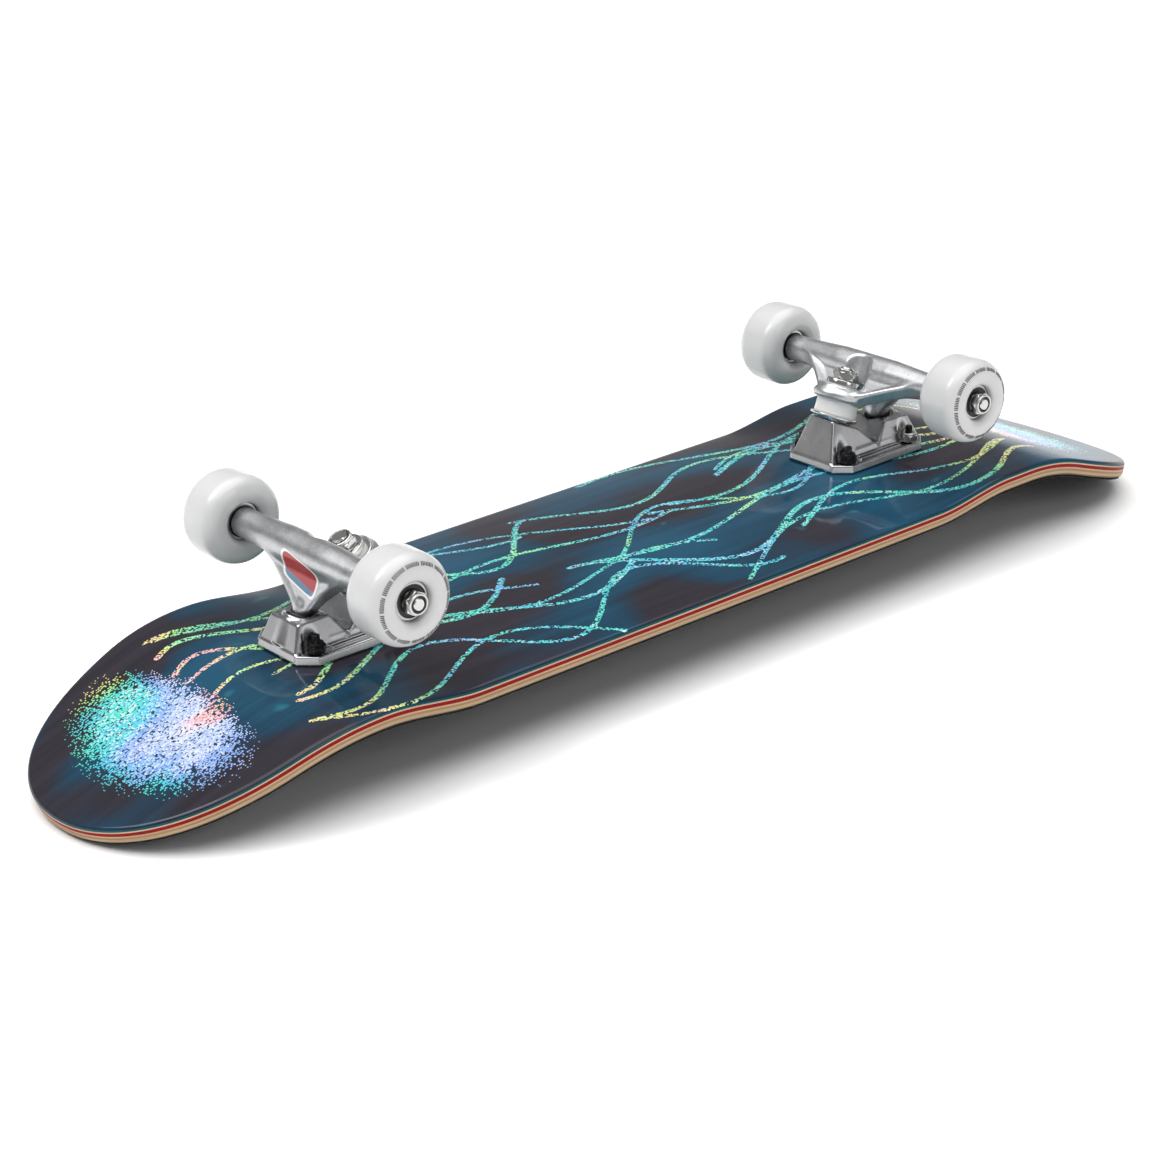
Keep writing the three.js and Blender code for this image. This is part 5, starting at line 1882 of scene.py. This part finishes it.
    def build(self) -> None:
        """Makes the wheels and all that sits on the axles."""
        tyre, marks, bearing = self.tyre(), self.marks(), self.bearing()
        r, half = AXLE_RADIUS, self.spacer_length / 2.0
        spacer = self.sleeve("spacer", r + 0.06, self.spacer_radius, 0.15 - half, half - 0.15, 0.3)
        washer = self.sleeve("speed_washer", r + 0.1, self.washer_radius, 0.05, self.washer - 0.05, 0.25)
        nut = lock_nut("axle_nut", self.nut_flats, self.nut_height, r + 0.06, Finish.PLATED, Finish.NYLON)
        reach = half + self.bearing_width
        for end in End:
            truck = f"{end.label}_truck"
            shown(f"{end.label}_threaded_axle", self.axle(end), truck, "plated_steel", f"{end.label}_axle")
            for side in Side:
                name = f"{end.label}_{side.label}"
                place, spin = self.board.axle(end, side), f"{name}_wheel_set"

                def at(height: float, turn: float = 0.0) -> Matrix:
                    """A place along this side of the axle."""
                    return place @ Matrix.Translation((0.0, 0.0, height)) @ Matrix.Rotation(turn, 4, "Z")

                shown(f"{name}_tyre", copied(tyre, place), spin, "wheel_urethane", f"{name}_wheel")
                shown(f"{name}_print", copied(marks, at(0.02)), spin, "wheel_urethane")
                for row, height in (("inner", -reach), ("outer", half)):
                    race = copied(bearing, at(height))
                    shown(f"{name}_{row}_ball_race", race, spin, "bearing_steel", f"{name}_{row}_bearing")
                core = copied(spacer, place)
                shown(f"{name}_turned_spacer", core, truck, "plated_steel", f"{name}_bearing_spacer")
                pair = [copied(washer, at(height)) for height in (reach, -reach - self.washer)]
                shown(f"{name}_speed_washers", merged(f"{name}_washers", pair), truck, "plated_steel")
                turn = 0.5 + 0.7 * end.value + 0.3 * side.value
                tight = copied(nut, at(reach + self.washer, turn))
                shown(f"{name}_lock_nut", tight, truck, "plated_steel", f"{name}_axle_nut")


# ------------------------------------------------------------------ studio


@dataclass(frozen=True)
class Studio:
    """A pale floor, soft lights and the camera."""

    azimuth: float = -38.33
    elevation: float = 22.82
    roll: float = -2.85
    lens: float = 83.30
    sensor: float = 36.0
    eye: Point = (-0.94013, -1.14069, 0.64846)
    floor_reach: float = 9.0
    world_strength: float = 0.25
    overhead_strength: float = 2.5
    underfoot_strength: float = 0.9

    def camera(self) -> None:
        """Sets the camera."""
        a, e, r = (math.radians(v) for v in (self.azimuth, self.elevation, self.roll))
        back = Vector((math.sin(a) * math.cos(e), -math.cos(a) * math.cos(e), math.sin(e)))
        level = Vector((math.cos(a), math.sin(a), 0.0))
        upright = back.cross(level)
        right = math.cos(r) * level + math.sin(r) * upright
        up = -math.sin(r) * level + math.cos(r) * upright
        data = bpy.data.cameras.new("camera")
        data.lens, data.sensor_width, data.sensor_fit = self.lens, self.sensor, "HORIZONTAL"
        camera = placed("camera", data)
        turn = Matrix((right, up, back)).transposed().to_4x4()
        camera.matrix_world = Matrix.Translation(self.eye) @ turn
        bpy.context.scene.camera = camera

    def lamp(self, name: str, place: Vector, aim: Vector, size: float, power: float) -> None:
        """Adds a soft square light.

        Args:
            name: Its name.
            place: Where it hangs.
            aim: What it points at.
            size: Its side, in metres.
            power: Its power, in watts.
        """
        data = bpy.data.lights.new(name, "AREA")
        data.shape, data.size, data.energy = "SQUARE", size, power
        turn = (place - aim).to_track_quat("Z", "Y").to_matrix().to_4x4()
        placed(name, data).matrix_world = Matrix.Translation(place) @ turn

    def floor(self) -> None:
        """Lays the floor."""
        corners = [
            (x * self.floor_reach, y * self.floor_reach, 0.0) for x, y in ((-1, -1), (1, -1), (1, 1), (-1, 1))
        ]
        mesh = bpy.data.meshes.new("floor")
        mesh.from_pydata(corners, [], [(0, 1, 2, 3)])
        skin = Skin("floor", Base_Color=(0.95, 0.95, 0.95), Roughness=0.95)
        mesh.materials.append(skin.material)
        floor = placed("floor", mesh)

    def build(self) -> None:
        """Sets the world, the lights, the floor and the camera."""
        world = bpy.data.worlds.new("studio")
        world.use_nodes = True
        n = Nodes(world.node_tree)
        height = n.add("ShaderNodeSeparateXYZ", {}, {0: n.add("ShaderNodeTexCoord", out="Generated")}, "Z")
        above, below = height.step(0.71, 0.88), height.step(0.20, 0.0)
        glow = self.world_strength + self.overhead_strength * above + self.underfoot_strength * below
        background = world.node_tree.nodes["Background"]
        background.inputs["Color"].default_value = (1.0, 1.0, 1.0, 1.0)
        world.node_tree.links.new(glow.socket, background.inputs["Strength"])
        bpy.context.scene.world = world
        bpy.context.scene.view_settings.view_transform = "Standard"
        target = Vector((0.0, 0.0, 0.05))
        self.lamp("key", Vector((-1.5, 0.9, 2.2)), target, 1.2, 26.0)
        self.lamp("fill", Vector((0.2, -2.6, 1.4)), target, 1.0, 8.0)
        self.floor()
        self.camera()


def main() -> None:
    """Builds the board and its studio."""
    logging.basicConfig(level=logging.INFO, format="%(name)s: %(message)s")
    Studio().build()
    board = Board()
    for maker in (Deck(board), Truck(board), TruckBolts(board), Wheel(board)):
        maker.build()
        LOG.info("%s is done", type(maker).__name__)


if __name__ == "__main__":
    main()
